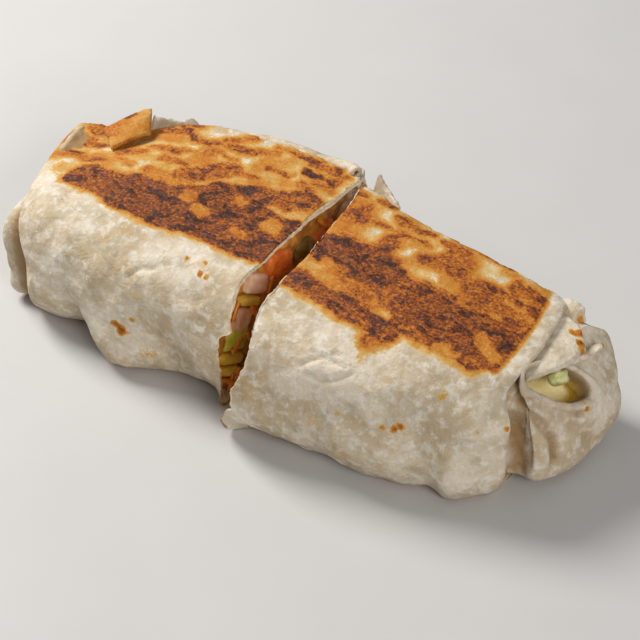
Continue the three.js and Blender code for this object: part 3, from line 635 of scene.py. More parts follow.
# Creases and ridges of the skin: the line in millimetres, half width, height.
CREASES = {
    "left": [
        (
            [(-41.6, -37.7, 34.5), (-39.7, -35.6, 36.6), (-37.9, -34.5, 37.5), (-35.4, -33.8, 37.9)],
            0.7, -1.0,
        ),
        ([(-35.4, -33.8, 37.9), (-33.9, -32.8, 38.6), (-32.5, -31.2, 39.4)], 0.6, -0.8),
    ],
    "right": [
        (
            [
                (80.8, -13.7, 30.9), (83.5, -12.9, 27.2), (86.4, -9.9, 20.8), (88.5, -8.6, 17.1),
                (90.4, -9.2, 10.1),
            ],
            1.5, -2.6,
        ),
        ([(85.8, -6.9, 25.7), (88.8, -3.2, 21.1), (91.5, 1.7, 14.8), (94.3, 7.5, 7.3)], 3.0, -1.8),
        ([(82.3, -12.7, 31.8), (85.4, -8.0, 27.4), (87.7, -4.5, 24.7), (91.6, 1.8, 20.6)], 1.2, -2.2),
        ([(83.3, -11.6, 33.0), (86.6, -6.0, 28.4), (90.6, -0.2, 24.3), (91.6, 5.6, 23.4)], 1.6, 0.9),
        ([(79.4, -16.6, 26.0), (81.6, -16.8, 17.7), (82.8, -17.1, 10.8), (82.0, -18.4, 4.0)], 2.8, -3.2),
        ([(77.7, 5.3, 26.5), (78.8, 8.7, 21.2), (80.9, 9.5, 18.6), (83.9, 8.3, 18.7)], 1.4, -2.4),
        ([(23.8, -41.1, 35.6), (26.0, -39.2, 37.1), (28.3, -37.7, 38.0), (32.4, -37.0, 38.1)], 0.6, -0.9),
        ([(32.4, -37.0, 38.1), (36.3, -36.8, 37.7)], 0.6, -0.8),
        ([(26.1, -41.8, 33.8), (30.1, -41.0, 33.1), (33.5, -40.1, 33.9), (38.3, -37.2, 36.8)], 0.8, -1.0),
        ([(25.3, -37.4, 38.5), (29.4, -36.7, 38.6), (33.1, -34.6, 39.7)], 0.5, -0.7),
        ([(11.1, 27.4, 40.8), (13.9, 22.2, 40.8)], 0.6, -0.7),
        ([(13.7, 20.3, 40.8), (15.0, 20.0, 40.8), (18.6, 19.0, 40.8)], 0.7, -0.8),
    ],
}


# Painted shade in the creases and the valley below the lip, with sauce and fat soaked in: the line, half
# width, strength.
CREASE_SHADE_AND_SOAK = {
    "left": [],
    "right": [
        ([(79.4, -16.6, 26.0), (81.6, -16.8, 17.7), (82.8, -17.1, 10.8), (82.0, -18.4, 2.0)], 3.2, 0.9),
        (
            [
                (79.0, -12.4, 30.1), (83.5, -12.9, 27.2), (86.4, -9.9, 20.8), (88.5, -8.6, 17.1),
                (90.4, -9.2, 10.1),
            ],
            1.7, 0.9,
        ),
        ([(82.3, -12.7, 31.6), (85.4, -8.0, 27.2), (87.7, -4.5, 24.5), (91.6, 1.8, 20.4)], 1.5, 0.8),
        ([(85.8, -6.9, 25.7), (88.8, -3.2, 21.1), (91.5, 1.7, 14.8), (94.3, 7.5, 7.3)], 2.4, 0.45),
    ],
}


# Broad bulges, strongest on the walls, and fine wrinkles all over: height, size and seed of each layer.
BULGES = ((1.0, 15.0, 5), (0.75, 7.5, 6))
WRINKLES = ((0.26, 3.4, 7), (0.10, 1.7, 8))


def crumple(side, skin, rim_row):
    """Works the small relief into the skin: what the filling pushes out, wrinkles and creases."""
    normal = grid_normals(skin, side)
    wall_share = smooth(39.5, 34.0, skin[..., 2])
    height = layered(skin, *BULGES) * (0.35 + 0.65 * wall_share)
    height = height + layered(skin, *WRINKLES)
    height = height * (1 - 0.65 * smooth(-9, 0, np.arange(len(skin)) - rim_row))[:, None]
    for line, half, rise in CREASES[side]:
        height = height + rise * bell(distance_to(skin, line) / half)
    foot = smooth(0.0, 3.0, skin[..., 2])
    moved = skin + normal * (height * (0.15 + 0.85 * foot))[..., None]
    moved[..., 2] = np.maximum(moved[..., 2], np.minimum(skin[..., 2], 0.0))
    return moved


# Where the griddle browned the top: x and y of both ends, reach, strength. First come the broad dark
# patches, then the short streaks on the pleats of the dough.
BROWNED = {
    "left": [
        (-78, -12, -60, -12, 7, 0.9), (-60, -12, -40, -12, 9, 1.0), (-40, -8, -12, -7, 11.5, 1.0),
        (-52, 4, -42, 14, 4, 0.8), (-38, 2, -28, 6, 6, 0.95), (-26, 8, -14, 14, 5, 0.85),
        (-99, 8, -95, 10, 2.2, 0.8), (-98, 14.5, -93, 15, 1.8, 0.75), (-94, 7, -89, 7.5, 2.6, 0.8),
        (-94, 0, -90, 0.5, 1.6, 0.75), (-95, -4, -88, -3, 2, 0.7), (-88, 9, -84, 9.5, 1.4, 0.7),
        (-87, 18, -83, 18.5, 2, 0.75), (-86, -3, -82, -2.5, 2.4, 0.7), (-78, 4.5, -72, 7.5, 2, 0.75),
        (-77, 0, -71, 0.5, 1.1, 0.6), (-74, 21, -66, 23, 2.4, 0.85), (-68, 26.5, -64, 27.5, 1.5, 0.75),
        (-64, 21, -57, 21.5, 1.5, 0.75), (-71, 11.5, -61, 12.5, 1.5, 0.75), (-64, 8, -56, 8.5, 1.5, 0.7),
        (-60, 14, -52, 17, 1.2, 0.65), (-54, 26, -46, 31.5, 1.5, 0.7), (-53, 18.5, -44, 19.5, 1.1, 0.75),
        (-56, 23, -48, 23.5, 1.1, 0.65), (-49, 25, -40, 26, 1.6, 0.8), (-41, 27.5, -35, 28, 1.2, 0.7),
        (-37, 31.5, -31, 32, 1.2, 0.7), (-37, 15, -33, 15, 1.5, 0.65), (-34, 21.3, -26, 22, 1.2, 0.85),
        (-30, 32, -22, 33, 1.8, 0.85), (-22, 31.5, -12, 31, 2.4, 0.8),
        (-22.5, 26.5, -18.5, 26.5, 1.8, 1.25), (-15, 27, -11, 27, 1.8, 0.8),
        (-17, 23, -13, 23.5, 1.5, 0.7), (-20, 20, -15, 20, 1.8, 0.8), (-12, 24, -10, 24, 1.5, 0.7),
        (-62, -1, -50, 0, 3, 0.55),
    ],
    "right": [
        (5, 0, 22, -1, 8, 1.0), (14, 4, 19, 13, 3.6, 0.85), (3, -17, 40, -22, 4.2, 0.9),
        (38, -28, 40, -25, 3, 0.7), (30, -2, 46, -2, 5, 0.85), (42, -8, 68, -8, 9, 0.95),
        (42, -16, 66, -16, 5, 0.8), (73, 0, 70, 18, 3, 0.9), (26, -8, 40, -10, 5, 0.8),
        (42, 7, 50, 7, 2.8, 0.8), (51, 8, 57, 8, 2.8, 0.8), (60, 6, 66, 6, 2.8, 0.8),
        (48, 12, 53, 12, 2, 0.7), (57, 12, 67, 12, 2, 0.75), (69, 18, 72, 18, 3, 0.8),
        (60, 18, 65, 18, 3.6, 0.85), (1, 22, 3, 22, 1.8, 0.75), (-5, 27, -2, 27, 1.8, 0.75),
        (-4, 18, -1, 18, 1.8, 0.8), (2, 16, 6, 16.4, 1.7, 0.75), (5, 27, 9, 27, 1.8, 0.8),
        (13, 23, 26, 23.4, 1.4, 0.8), (22, 17, 28, 17.4, 1.4, 0.7), (14, 18, 25, 18.8, 1.0, 0.8),
        (8, 17.6, 16, 18.2, 1.0, 0.7), (30, 22, 36, 22, 1.8, 0.8), (32, 26, 38, 26, 1.0, 0.7),
        (36, 21, 40, 21, 1.8, 0.7), (37, 12, 38.5, 16, 2.2, 0.75), (31, 11, 35, 15, 1.7, 0.75),
        (43, 24.5, 53, 24.5, 1.0, 0.7),
    ],
}
# How far the whole top is tinged round them, given the same way.
TINGED = {
    "left": [
        (-101, 2, -90, 20, 12, 0.42), (-84, -2, -50, -4, 13, 0.34), (-62, 2, -12, 4, 20, 0.38),
        (-74, 14, -30, 20, 9, 0.28),
    ],
    "right": [(2, 2, 66, 2, 20, 0.56), (0, 14, 40, 16, 12, 0.44)],
}
# Paler places within them, given the same way.
SPARED = {
    "left": [
        (-45, -4, -44, -4, 2.6, 0.5), (-38, -8, -36, -8, 2.6, 0.5), (-31, 3, -30, 3, 2.2, 0.5),
        (-16, -2, -14, -2, 3.2, 0.7), (-24, -11, -20, -11, 1.6, 0.45),
    ],
    "right": [
        (7, -6.6, 13, -6, 2, 0.55), (16, -12, 28, -12, 2.2, 0.6), (24, 15, 32, 4, 3, 0.6),
        (36, 7, 44, 6, 3.4, 0.6), (63, -8, 69, -11, 2.4, 0.5), (55, -18, 59, -18, 2.4, 0.5),
    ],
}


# Small spots of toast on the walls and the folds: place, reach, strength.
SPOTS = {
    "left": [
        (-43.8, -42.3, 18.4, 1.5, 0.62), (-41.6, -42.1, 16.8, 1.9, 0.7), (-37.7, -39.5, 30.3, 2.2, 0.3),
        (-38.3, -40.8, 21.6, 1.0, 0.5), (-20.6, -29.2, 39.9, 0.7, 0.95), (-18.4, -29.3, 39.8, 0.6, 0.95),
        (-21.4, -25.8, 41.3, 0.5, 0.9), (-27.6, -26.9, 41.1, 0.5, 0.9), (-17.0, -39.8, 19.1, 3.2, 0.2),
        (-32.6, -39.8, 10.0, 3.4, 0.32), (-26.0, -39.6, 9.0, 2.4, 0.3), (-53.7, -37.3, 34.3, 1.4, 0.26),
    ],
    "right": [
        (55.2, -37.0, 25.6, 1.1, 0.6), (53.8, -37.6, 24.6, 0.8, 0.6), (50.4, -39.2, 24.3, 1.0, 0.5),
        (64.0, -29.1, 36.3, 1.6, 0.4), (37.1, -41.3, 24.5, 1.3, 0.34), (29.6, -43.3, 19.3, 2.0, 0.3),
        (91.9, 3.8, 21.6, 0.9, 0.62), (81.1, -22.4, 27.8, 1.0, 0.55), (90.1, -8.2, 13.8, 0.8, 0.42),
        (68.7, -33.1, 19.3, 1.3, 0.3), (81.3, 15.8, 36.4, 1.5, 0.85), (79.4, 14.6, 36.6, 1.0, 0.6),
        (83.3, 12.2, 35.9, 1.4, 0.8), (85.4, 10.4, 34.8, 1.1, 0.6), (86.6, 20.4, 31.6, 1.4, 0.6),
        (20.0, -35.7, 40.2, 1.2, 0.25), (77.0, 23.6, 34.0, 1.3, 0.5),
    ],
}


def browning(side, points, normal, share=1.0):
    """How far the griddle browned the skin: 0 is raw dough, 0.5 golden, 1 dark, more is charred."""
    flat = points[..., :2]
    along = layered(points, (1.5, 5.0, 31), (0.7, 2.0, 33))
    across = layered(points, (1.5, 5.0, 32), (0.7, 2.0, 34))
    place = flat + np.stack([along, across], axis=-1)
    brown = np.zeros(points.shape[:-1])
    halo = np.zeros(points.shape[:-1])
    for x0, y0, x1, y1, reach, strength in BROWNED[side]:
        away = distance_to(place, [(x0, y0), (x1, y1)])
        brown = np.maximum(brown, strength * smooth(reach + 0.6, reach - 0.6, away))
        halo = np.maximum(halo, 0.40 * smooth(reach + 3.2, reach - 0.5, away))
    for x0, y0, x1, y1, reach, strength in TINGED[side]:
        away = distance_to(place, [(x0, y0), (x1, y1)])
        patchy = 0.80 + 0.95 * lumps(points, 6.0, 35)
        halo = np.maximum(halo, strength * smooth(reach + 5.0, reach - 4.0, away) * patchy)
    for x0, y0, x1, y1, reach, strength in SPARED[side]:
        away = distance_to(place, [(x0, y0), (x1, y1)])
        brown -= strength * smooth(reach + 0.8, reach - 0.8, away)
    facing = normal[..., 2] + 0.7 * smooth(-2.0, 8.0, points[..., 1])
    upwards = smooth(0.35, 0.8, facing) * smooth(24, 34, points[..., 2])
    top = np.maximum(np.clip(brown, 0, 2), halo) * upwards * share

    spots = np.zeros(points.shape[:-1])
    wobble = 1 + 0.45 * lumps(points, 1.3, 39)
    for x, y, z, reach, strength in SPOTS[side]:
        away = np.linalg.norm(points - np.array([x, y, z]), axis=-1)
        faint = smooth(0.15, 0.55, strength)
        spots = np.maximum(spots, strength * faint * smooth(reach * 1.3 + 0.2, reach * 0.3, away * wobble))
    top = np.maximum(top, spots)

    under = smooth(-0.6, -0.95, normal[..., 2]) * smooth(3.0, 1.0, points[..., 2])
    patch = 0.5 + layered(points, (0.55, 19.0, 36), (0.35, 6.0, 37), (0.15, 2.4, 38))
    return top + under * np.clip(patch, 0, 1)


def add_attribute(mesh, name, values):
    attribute = mesh.attributes.new(name, "FLOAT", "POINT")
    attribute.data.foreach_set("value", np.asarray(values, np.float32).ravel())


def through(places, count):
    """A smooth curve through given places, as evenly counted points."""
    places = np.array(places, float)
    t = np.linspace(0, len(places) - 1, count)
    slopes = np.gradient(places, axis=0)
    i = np.minimum(t.astype(int), len(places) - 2)
    f = (t - i)[:, None]
    return (
        places[i] * (1 + 2 * f) * (1 - f) ** 2
        + slopes[i] * f * (1 - f) ** 2
        + places[i + 1] * f * f * (3 - 2 * f)
        + slopes[i + 1] * f * f * (f - 1)
    )


def flap_grid(root, free, dome, columns, rows):
    """A grid from the root of a flap to its free edge, domed between them."""
    u = np.linspace(0, 1, columns + 1)[:, None, None]
    v = np.linspace(0, 1, rows + 1)[None, :, None]
    grid = through(root, columns + 1)[:, None] * (1 - v) + through(free, columns + 1)[:, None] * v
    rise = dome * np.sin(math.pi * v ** 1.4) * (0.35 + 0.65 * np.sin(math.pi * u))
    ragged = v ** 3 * layered(grid, (0.35, 2.4, 91), (0.35, 1.1, 92))[..., None]
    return grid + (rise + ragged) * np.array([0.3, 0.0, 1.0])


def sheet(grid, thickness):
    """A closed sheet of dough, thickened to both sides of a grid, with its edges rounded."""
    columns, rows = grid.shape[0] - 1, grid.shape[1] - 1
    normal = np.cross(np.gradient(grid, axis=0), np.gradient(grid, axis=1))
    normal /= np.maximum(np.linalg.norm(normal, axis=-1, keepdims=True), 1e-9)
    i, j = np.meshgrid(np.arange(columns + 1), np.arange(rows + 1), indexing="ij")
    inwards = np.minimum(np.minimum(i, columns - i), np.minimum(j, rows - j))
    full = np.sqrt(np.clip(1 - (1 - np.clip(inwards / 2.5, 0, 1)) ** 2, 0.08, 1))[..., None]
    faces_of = [grid + normal * thickness * 0.5 * full, grid - normal * thickness * 0.5 * full]
    points = np.concatenate([face.reshape(-1, 3) for face in faces_of])
    number = np.arange((columns + 1) * (rows + 1)).reshape(columns + 1, rows + 1)
    a, b, c, d = number[:-1, :-1], number[1:, :-1], number[1:, 1:], number[:-1, 1:]
    upper = np.stack([a, b, c, d], axis=-1).reshape(-1, 4)
    under = upper[:, ::-1] + number.size
    border = np.concatenate([number[:, 0], number[-1, 1:], number[-2::-1, -1], number[0, -2:0:-1]])
    following = np.roll(border, -1)
    rim = np.stack([border, border + number.size, following + number.size, following], axis=-1)
    return points, [*upper.tolist(), *under.tolist(), *rim.tolist()]


# Loose flaps of dough: the line they rise from, their free edge, thickness, dome, share of the top's toast.
FLAPS = {
    "right": [
        (
            [(73, -6, 35), (72, 2, 35.8), (70, 10, 36), (68, 17, 36), (67, 22, 35.6)],
            [
                (79.3, -10.1, 35.7), (84.7, 1.9, 35.1), (85.4, 9.6, 34.4), (84.6, 13.6, 34.2),
                (79.4, 18.6, 36.2),
            ],
            2.2, 1.0, 0.0,
        ),
        (
            [(82.0, 8.0, 30.4), (82.6, 11.0, 30.8), (83.0, 14.0, 31.0)],
            [(86.0, 12.6, 32.0), (87.6, 17.6, 32.0), (86.4, 21.6, 30.6)],
            1.8, 0.8, 0.0,
        ),
        (
            [(67.0, 22.0, 34.2), (71.0, 21.6, 34.0), (75.0, 20.6, 31.6)],
            [(69.6, 27.0, 36.0), (75.4, 27.4, 35.2), (77.8, 25.0, 32.8)],
            2.0, 0.8, 0.0,
        ),
        (
            [(-2.6, 34.2, 39.2), (3.2, 31.6, 39.6), (9.8, 29.2, 39.4)],
            [(-1.6, 35.4, 45.8), (3.4, 33.6, 43.0), (9.6, 30.2, 40.8)],
            1.6, 0.4, 0.3,
        ),
    ],
    "left": [
        (
            [(-82.0, 4.6, 39.2), (-86.6, 8.4, 39.4), (-91.0, 11.6, 38.8)],
            [(-74.5, 15.2, 41.8), (-77.4, 19.4, 43.6), (-80.1, 23.0, 45.0)],
            1.8, 1.6, 1.0,
        ),
        (
            [(-79.0, 20.0, 39.0), (-72.0, 24.5, 39.0), (-66.0, 28.0, 39.0)],
            [
                (-79.0, 22.6, 43.2), (-75.4, 23.8, 42.6), (-70.6, 26.2, 41.8), (-68.8, 28.6, 42.8),
                (-66.6, 29.2, 40.4),
            ],
            1.5, 0.6, 0.0,
        ),
    ],
}


# Where the outer layer's free edge has curled up: the line it runs along, radius of the curl, thickness.
ROLLS = {"left": [([(-9.6, 34.8, 42.8), (-14.0, 37.0, 41.6), (-27.0, 38.0, 38.8)], 1.6, 1.3)], "right": []}


def roll_grid(line, radius, columns, rows):
    """A grid rolled up round a line, drawn in a little with every turn."""
    axis = through(line, columns + 1)[:, None]
    forward = np.gradient(axis, axis=0)
    across = np.cross(forward, [0.0, 0.0, 1.0])
    across /= np.linalg.norm(across, axis=-1, keepdims=True)
    turn = np.radians(np.linspace(-150, 190, rows + 1))[None, :, None]
    reach = radius * np.linspace(1.0, 0.72, rows + 1)[None, :, None]
    return axis + reach * (np.cos(turn) * across + np.sin(turn) * np.array([0.0, 0.0, 1.0]))


# How many faces a flap has along its root and out from it, and a curl along its line and round it.
FLAP_FACES = (48, 32)
CURL_FACES = (40, 48)


def flap_pieces(side):
    """The flaps and curled edges of one half: points, faces and share of the top's toast of each."""
    flaps = [
        (*sheet(flap_grid(root, free, dome, *FLAP_FACES), thick), share)
        for root, free, thick, dome, share in FLAPS[side]
    ]
    curls = [
        (*sheet(roll_grid(line, radius, *CURL_FACES), thick), 0.0) for line, radius, thick in ROLLS[side]
    ]
    return flaps + curls


def tortilla_material():
    material, surface, place = new_material("toasted_tortilla")
    brown = place.node("Attribute", {"attribute_name": "brown"}, None, 2)
    inside = place.node("Attribute", {"attribute_name": "inside"}, None, 2)
    soaked = place.node("Attribute", {"attribute_name": "soaked"}, None, 2)

    shifted = [
        place.node("VectorMath", {"operation": "ADD"}, {0: place, 1: (61.0 * n, 17.0 * n, 43.0 * n)})
        for n in range(1, 5)
    ]
    flour = place.noise(3.0, 5.0, 0.65)
    speck = place.noise(0.8, 3.0, 0.6)
    cloud = place.noise(13.0, 4.0, 0.6, 0.6).between(0.38, 0.60)
    dough = cloud.mix((0.50, 0.395, 0.26), (0.65, 0.565, 0.44))
    damp = shifted[0].noise(15.0, 4.0, 0.55, 0.6).between(0.44, 0.64)
    dough = (damp * 0.5).mix(dough, (0.36, 0.285, 0.17))
    tan = shifted[1].noise(10.0, 4.0, 0.6, 0.5).between(0.54, 0.70)
    dough = (tan * 0.5).mix(dough, (0.52, 0.33, 0.15))
    dough = (flour.between(0.46, 0.66) * 0.55).mix(dough, (0.77, 0.735, 0.66))
    dough = (speck.between(0.56, 0.70) * 0.35).mix(dough, (0.44, 0.35, 0.22))
    freckled = place.noise(15.0, 1.0).between(0.48, 0.62)
    freckle = shifted[2].noise(1.7, 2.0, 0.5).between(0.71, 0.80) * freckled
    dough = (freckle * 0.8).mix(dough, (0.30, 0.14, 0.05))

    stretched = place.node("VectorMath", {"operation": "MULTIPLY"}, {0: place, 1: (0.75, 1.0, 1.0)})
    blotch = stretched.noise(4.2, 3.0, 0.55, 0.5) - 0.5
    grain = shifted[3].noise(1.0, 3.0, 0.6)
    vein = blotch.sum("ABSOLUTE", blotch).between(0.05, 0.0)
    within = brown.between(0.30, 0.80)
    rough_toast = blotch + (grain - 0.5) * 0.95 + (speck - 0.5) * 0.75
    heat = brown * 0.81 + (within * 0.72 + 0.28) * rough_toast - vein * within * 0.16
    toast = heat.node("ValToRGB", {"stops": [
        (0.00, (0.63, 0.50, 0.31)), (0.15, (0.55, 0.34, 0.10)), (0.30, (0.48, 0.205, 0.030)),
        (0.45, (0.44, 0.142, 0.014)), (0.62, (0.275, 0.072, 0.012)), (0.80, (0.12, 0.034, 0.013)),
        (1.00, (0.035, 0.015, 0.010)),
    ]}, {"Fac": heat})
    colour = heat.between(0.02, 0.16).mix(dough, toast)
    crumb = speck.between(0.35, 0.65).mix((0.62, 0.49, 0.31), (0.80, 0.70, 0.52))
    colour = inside.between(0.0, 1.0).mix(colour, crumb)
    # Up to 1 the dough darkens to brown: painted shade in the creases, grooves and valleys, mixed with
    # soaked-in sauce, and a sauce stain at the foot of the cut edges. From 1 to 2 it is wet ochre with sauce
    # and fat.
    colour = (soaked.between(0.0, 1.0) * 0.85).mix(colour, (0.27, 0.14, 0.035))
    colour = (soaked.between(0.9, 2.0) * 0.95).mix(colour, (0.86, 0.63, 0.14))
    # From 2 to 3 it is painted light: the lit wall inside the mouth turns pale yellow.
    colour = (soaked.between(2.0, 3.0) * 0.9).mix(colour, (0.95, 0.86, 0.50))

    rough = 0.66 + flour * 0.16 - heat.between(0.3, 0.9) * 0.14
    normal = bumps(
        place,
        (place.noise(4.4, 4.0, 0.6, 0.4), 0.75, 1.1),
        (flour, 0.6, 0.5),
        (speck, 0.4, 0.16),
        (heat, 0.45, 0.25),
    )
    finish_surface(
        surface,
        {"Specular IOR Level": 0.18},
        {"Base Color": colour, "Roughness": rough, "Normal": normal},
    )
    return material


TORTILLA = tortilla_material()


def add_piece(name, points, faces, material, values=None):
    """A piece of the wrap from points in millimetres, riding with the rest, smooth shaded."""
    mesh = bpy.data.meshes.new(name)
    mesh.from_pydata(((points + CENTRE) * MM).tolist(), [], faces)
    for key, numbers in (values or {}).items():
        add_attribute(mesh, key, numbers)
    mesh.polygons.foreach_set("use_smooth", np.ones(len(mesh.polygons), bool))
    mesh.materials.append(material)
    piece = bpy.data.objects.new(name, mesh)
    bpy.context.scene.collection.objects.link(piece)
    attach(piece, "root")
    return piece


# How far the lit wall inside the mouth is raised, as painted light, to a wet pale yellow, and how stained
# the foot of each cut edge is.
PAINTED_LIGHT_ON_WET = 3
FOOT_STAIN = 0.8


def add_tortilla(side):
    """One half's shell, flaps and curled edges, with how brown, how soaked or painted with shade or light,
    and how bare each point is.
    """
    cavity, edge, plain, stain_and_shading, rim_row = skin_loops(side)
    skin = crumple(side, plain, rim_row)
    loops = np.concatenate([cavity, edge, skin])
    points, faces = closed_loft(loops, side == "left")
    normal = grid_normals(skin, side)

    hidden = cavity.shape[0] * AROUND
    cut = edge.shape[0] * AROUND
    # Painted shade, with soaked-in sauce, along the creases and the valley below the lip.
    for line, half, strength in CREASE_SHADE_AND_SOAK[side]:
        stain_and_shading = np.maximum(stain_and_shading, strength * bell(distance_to(plain, line) / half))
    toasted = np.ones(skin.shape[:2])
    if side == "right":
        from_rim = abs(skin[rim_row, :, 0])[None, :] - abs(skin[..., 0])
        toasted = smooth(2.0, 4.6, from_rim) * (np.arange(len(skin))[:, None] <= rim_row)
        # Painted light: the lit wall inside the mouth is painted pale yellow.
        lit_wall = smooth(81.6, 78.6, skin[..., 0] + 0.25 * (skin[..., 2] - 22))
        stain_and_shading = stain_and_shading + smooth(1.1, 1.6, stain_and_shading) * lit_wall * (PAINTED_LIGHT_ON_WET - stain_and_shading)
    brown = np.concatenate([np.zeros(hidden + cut), browning(side, skin, normal, toasted).ravel(), [0, 0]])
    inside = np.concatenate([np.ones(hidden + cut), np.zeros(skin.shape[0] * AROUND), [1, 0]])
    foot_of_cut = FOOT_STAIN * smooth(20, 10, edge[..., 2]).ravel()
    soaked = np.concatenate([np.zeros(hidden), foot_of_cut, stain_and_shading.ravel(), [0, 1]])

    for flap, flap_faces, share in flap_pieces(side):
        faces += [[n + len(points) for n in face] for face in flap_faces]
        points = np.concatenate([points, flap])
        up = np.broadcast_to(np.array([0.0, 0.0, 1.0]), flap.shape)
        brown = np.concatenate([brown, browning(side, flap, up, share)])
        inside = np.concatenate([inside, np.zeros(len(flap))])
        soaked = np.concatenate([soaked, np.zeros(len(flap))])

    values = {"brown": brown, "inside": inside, "soaked": soaked}
    piece = add_piece("wrap_skin_" + side, points, faces, TORTILLA, values)
    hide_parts("tortilla_" + side)


for side in SIDES:
    add_tortilla(side)

# ---------------------------------------------------------------- mixture
# Behind each cut, chicken, celery, pepper and carrot are broken small and stuck together with hot sauce. The
# mixture runs through the half as one lump, pressed against the tortilla, with a broken face at the cut.
FACE_DEPTH = 2.0
CORE_AROUND = 200
FACE_LOOPS = 90
# How far it keeps from the wall at its face, and how much further deeper in.
FIT = 0.3
SLACK = 1.3


def broken_face(side, depth, inset, around, shares):
    """Loops over the broken face, at a depth behind the cut, drawn in from a rim that clears the wall."""
    spec = SIDES[side]
    face = fill_rings(spec["body"], 1.0)[:1]
    face[0, 0] += spec["out"] * depth
    turn = angles_round(around)
    rim = ring_points(face, turn, wall_near_cut(turn, FACE_DEPTH) + inset, relief(side, face[:, :1], turn))
    middle = face[0, :3]
    return [middle + (rim - middle) * share for share in shares]


def add_core(side):
    """The mixture that runs through a half, with a broken face at the cut."""
    spec = SIDES[side]
    loops = broken_face(side, FACE_DEPTH, FIT, CORE_AROUND, np.linspace(0.02, 0.985, FACE_LOOPS))
    turn = angles_round(CORE_AROUND)
    rings = fill_rings(spec["body"], 1.0)
    deep = abs(rings[:, 0] - rings[0, 0])
    behind = (deep > FACE_DEPTH + 0.6) & (abs(rings[:, 0]) < spec["cavity_end"])
    rings, deep = rings[behind], deep[behind][:, None]
    inset = wall_near_cut(turn, deep) + FIT + SLACK * smooth(0, 8, deep)
    loops.append(ring_points(rings, turn, inset, relief(side, rings[:, :1], turn)))
    loops = np.concatenate(loops)
    broken = layered(loops, (0.63, 5.0, 51), (0.42, 2.2, 52), (0.245, 1.0, 53)) - 0.35
    loops = loops + grid_normals(loops, side) * broken[..., None]
    points, faces = closed_loft(loops, side == "left")
    piece = add_piece("filling_mix_" + side, points, faces, MIXTURE)
    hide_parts("filling_" + side)


def food_material(name, low, high, size, rough, coat, sauced):
    """Moist chopped food, mottled between two colours in lumps of a size in millimetres, partly sauced."""
    material, surface, place = new_material(name)
    mottle = place.noise(size, 5.0, 0.62, 0.4)
    grain = place.noise(size * 0.22, 3.0, 0.6)
    sauce = place.noise(size * 0.9, 3.0, 0.55).between(0.52, 0.68)
    colour = mottle.between(0.34, 0.66).mix(low, high)
    colour = (grain.between(0.35, 0.75) * 0.35).mix(colour, low)
    colour = (sauce * sauced).mix(colour, (0.52, 0.10, 0.012))
    finish_surface(
        surface,
        {"Specular IOR Level": 0.5, "Coat Roughness": 0.25, "Coat Weight": coat},
        {
            "Base Color": colour,
            "Roughness": rough + grain * 0.2,
            "Normal": bumps(place, (mottle, 0.6, 0.9), (grain, 0.5, 0.3)),
        },
    )
    return material


MIXTURE = food_material("sauced_filling", (0.34, 0.13, 0.02), (0.78, 0.40, 0.06), 4.0, 0.35, 0.3, 0.30)

for side in SIDES:
    add_core(side)

# ---------------------------------------------------------------- chopped pieces
# Cubes of cooked chicken, slices of celery and strips of yellow pepper, some coated in hot sauce, which the
# knife bared. Each sits in the mixture and stands a little proud of its broken face.
PROUD = 1.5
DEPTH = {"chicken": 10, "celery": 7, "pepper": 8}
SQUARENESS = {"chicken": 6.0, "celery": 3.4, "pepper": 3.4}
BLOCK_FACES = (64, 96)
# What it is, y, z, width, height, and its turn in degrees.
PIECES = {
    "left": [
        ("chicken", -5.4, 33.2, 12.4, 8.6, -12), ("chicken", -16.4, 33.0, 11.6, 6.4, -34),
        ("pepper", -19.6, 28.4, 12.6, 3.8, -34), ("chicken", -25.8, 25.8, 12.4, 7.6, -34),
        ("celery", -26.8, 18.6, 13.0, 8.4, -28), ("pepper", -29.6, 13.0, 12.6, 4.4, -30),
        ("pepper", -31.0, 9.2, 10.6, 3.6, -28), ("chicken", -13.0, 13.4, 11.0, 9.6, 24),
        ("chicken", 2.2, 19.0, 12.0, 11.0, -12), ("celery", 7.2, 30.8, 10.0, 6.8, -10),
        ("chicken", 17.8, 28.6, 11.0, 10.0, 14), ("pepper", 13.6, 15.8, 9.6, 4.2, -28),
        ("chicken", 25.6, 18.2, 11.0, 10.2, -24), ("chicken", 30.6, 30.4, 10.0, 8.4, -20),
        ("celery", 15.6, 7.4, 10.6, 6.4, 8), ("pepper", -3.0, 7.0, 10.0, 3.6, 4),
    ],
    "right": [
        ("chicken", -31.0, 24.6, 11.4, 10.4, 16), ("celery", -30.0, 13.4, 10.4, 7.6, -14),
        ("chicken", -17.6, 30.0, 12.4, 8.6, -8), ("pepper", -18.4, 20.2, 10.6, 4.2, 22),
        ("chicken", -17.0, 10.0, 12.0, 9.8, -26), ("chicken", -3.4, 24.0, 12.4, 12.0, 20),
        ("celery", -2.2, 10.4, 10.6, 7.6, 8), ("chicken", 10.4, 30.4, 12.4, 8.6, -10),
        ("pepper", 10.6, 20.4, 10.4, 4.4, -18), ("chicken", 11.2, 9.8, 11.4, 9.6, 12),
        ("celery", 24.6, 27.4, 10.4, 7.2, -20), ("chicken", 24.0, 15.6, 11.2, 11.0, 34),
    ],
}
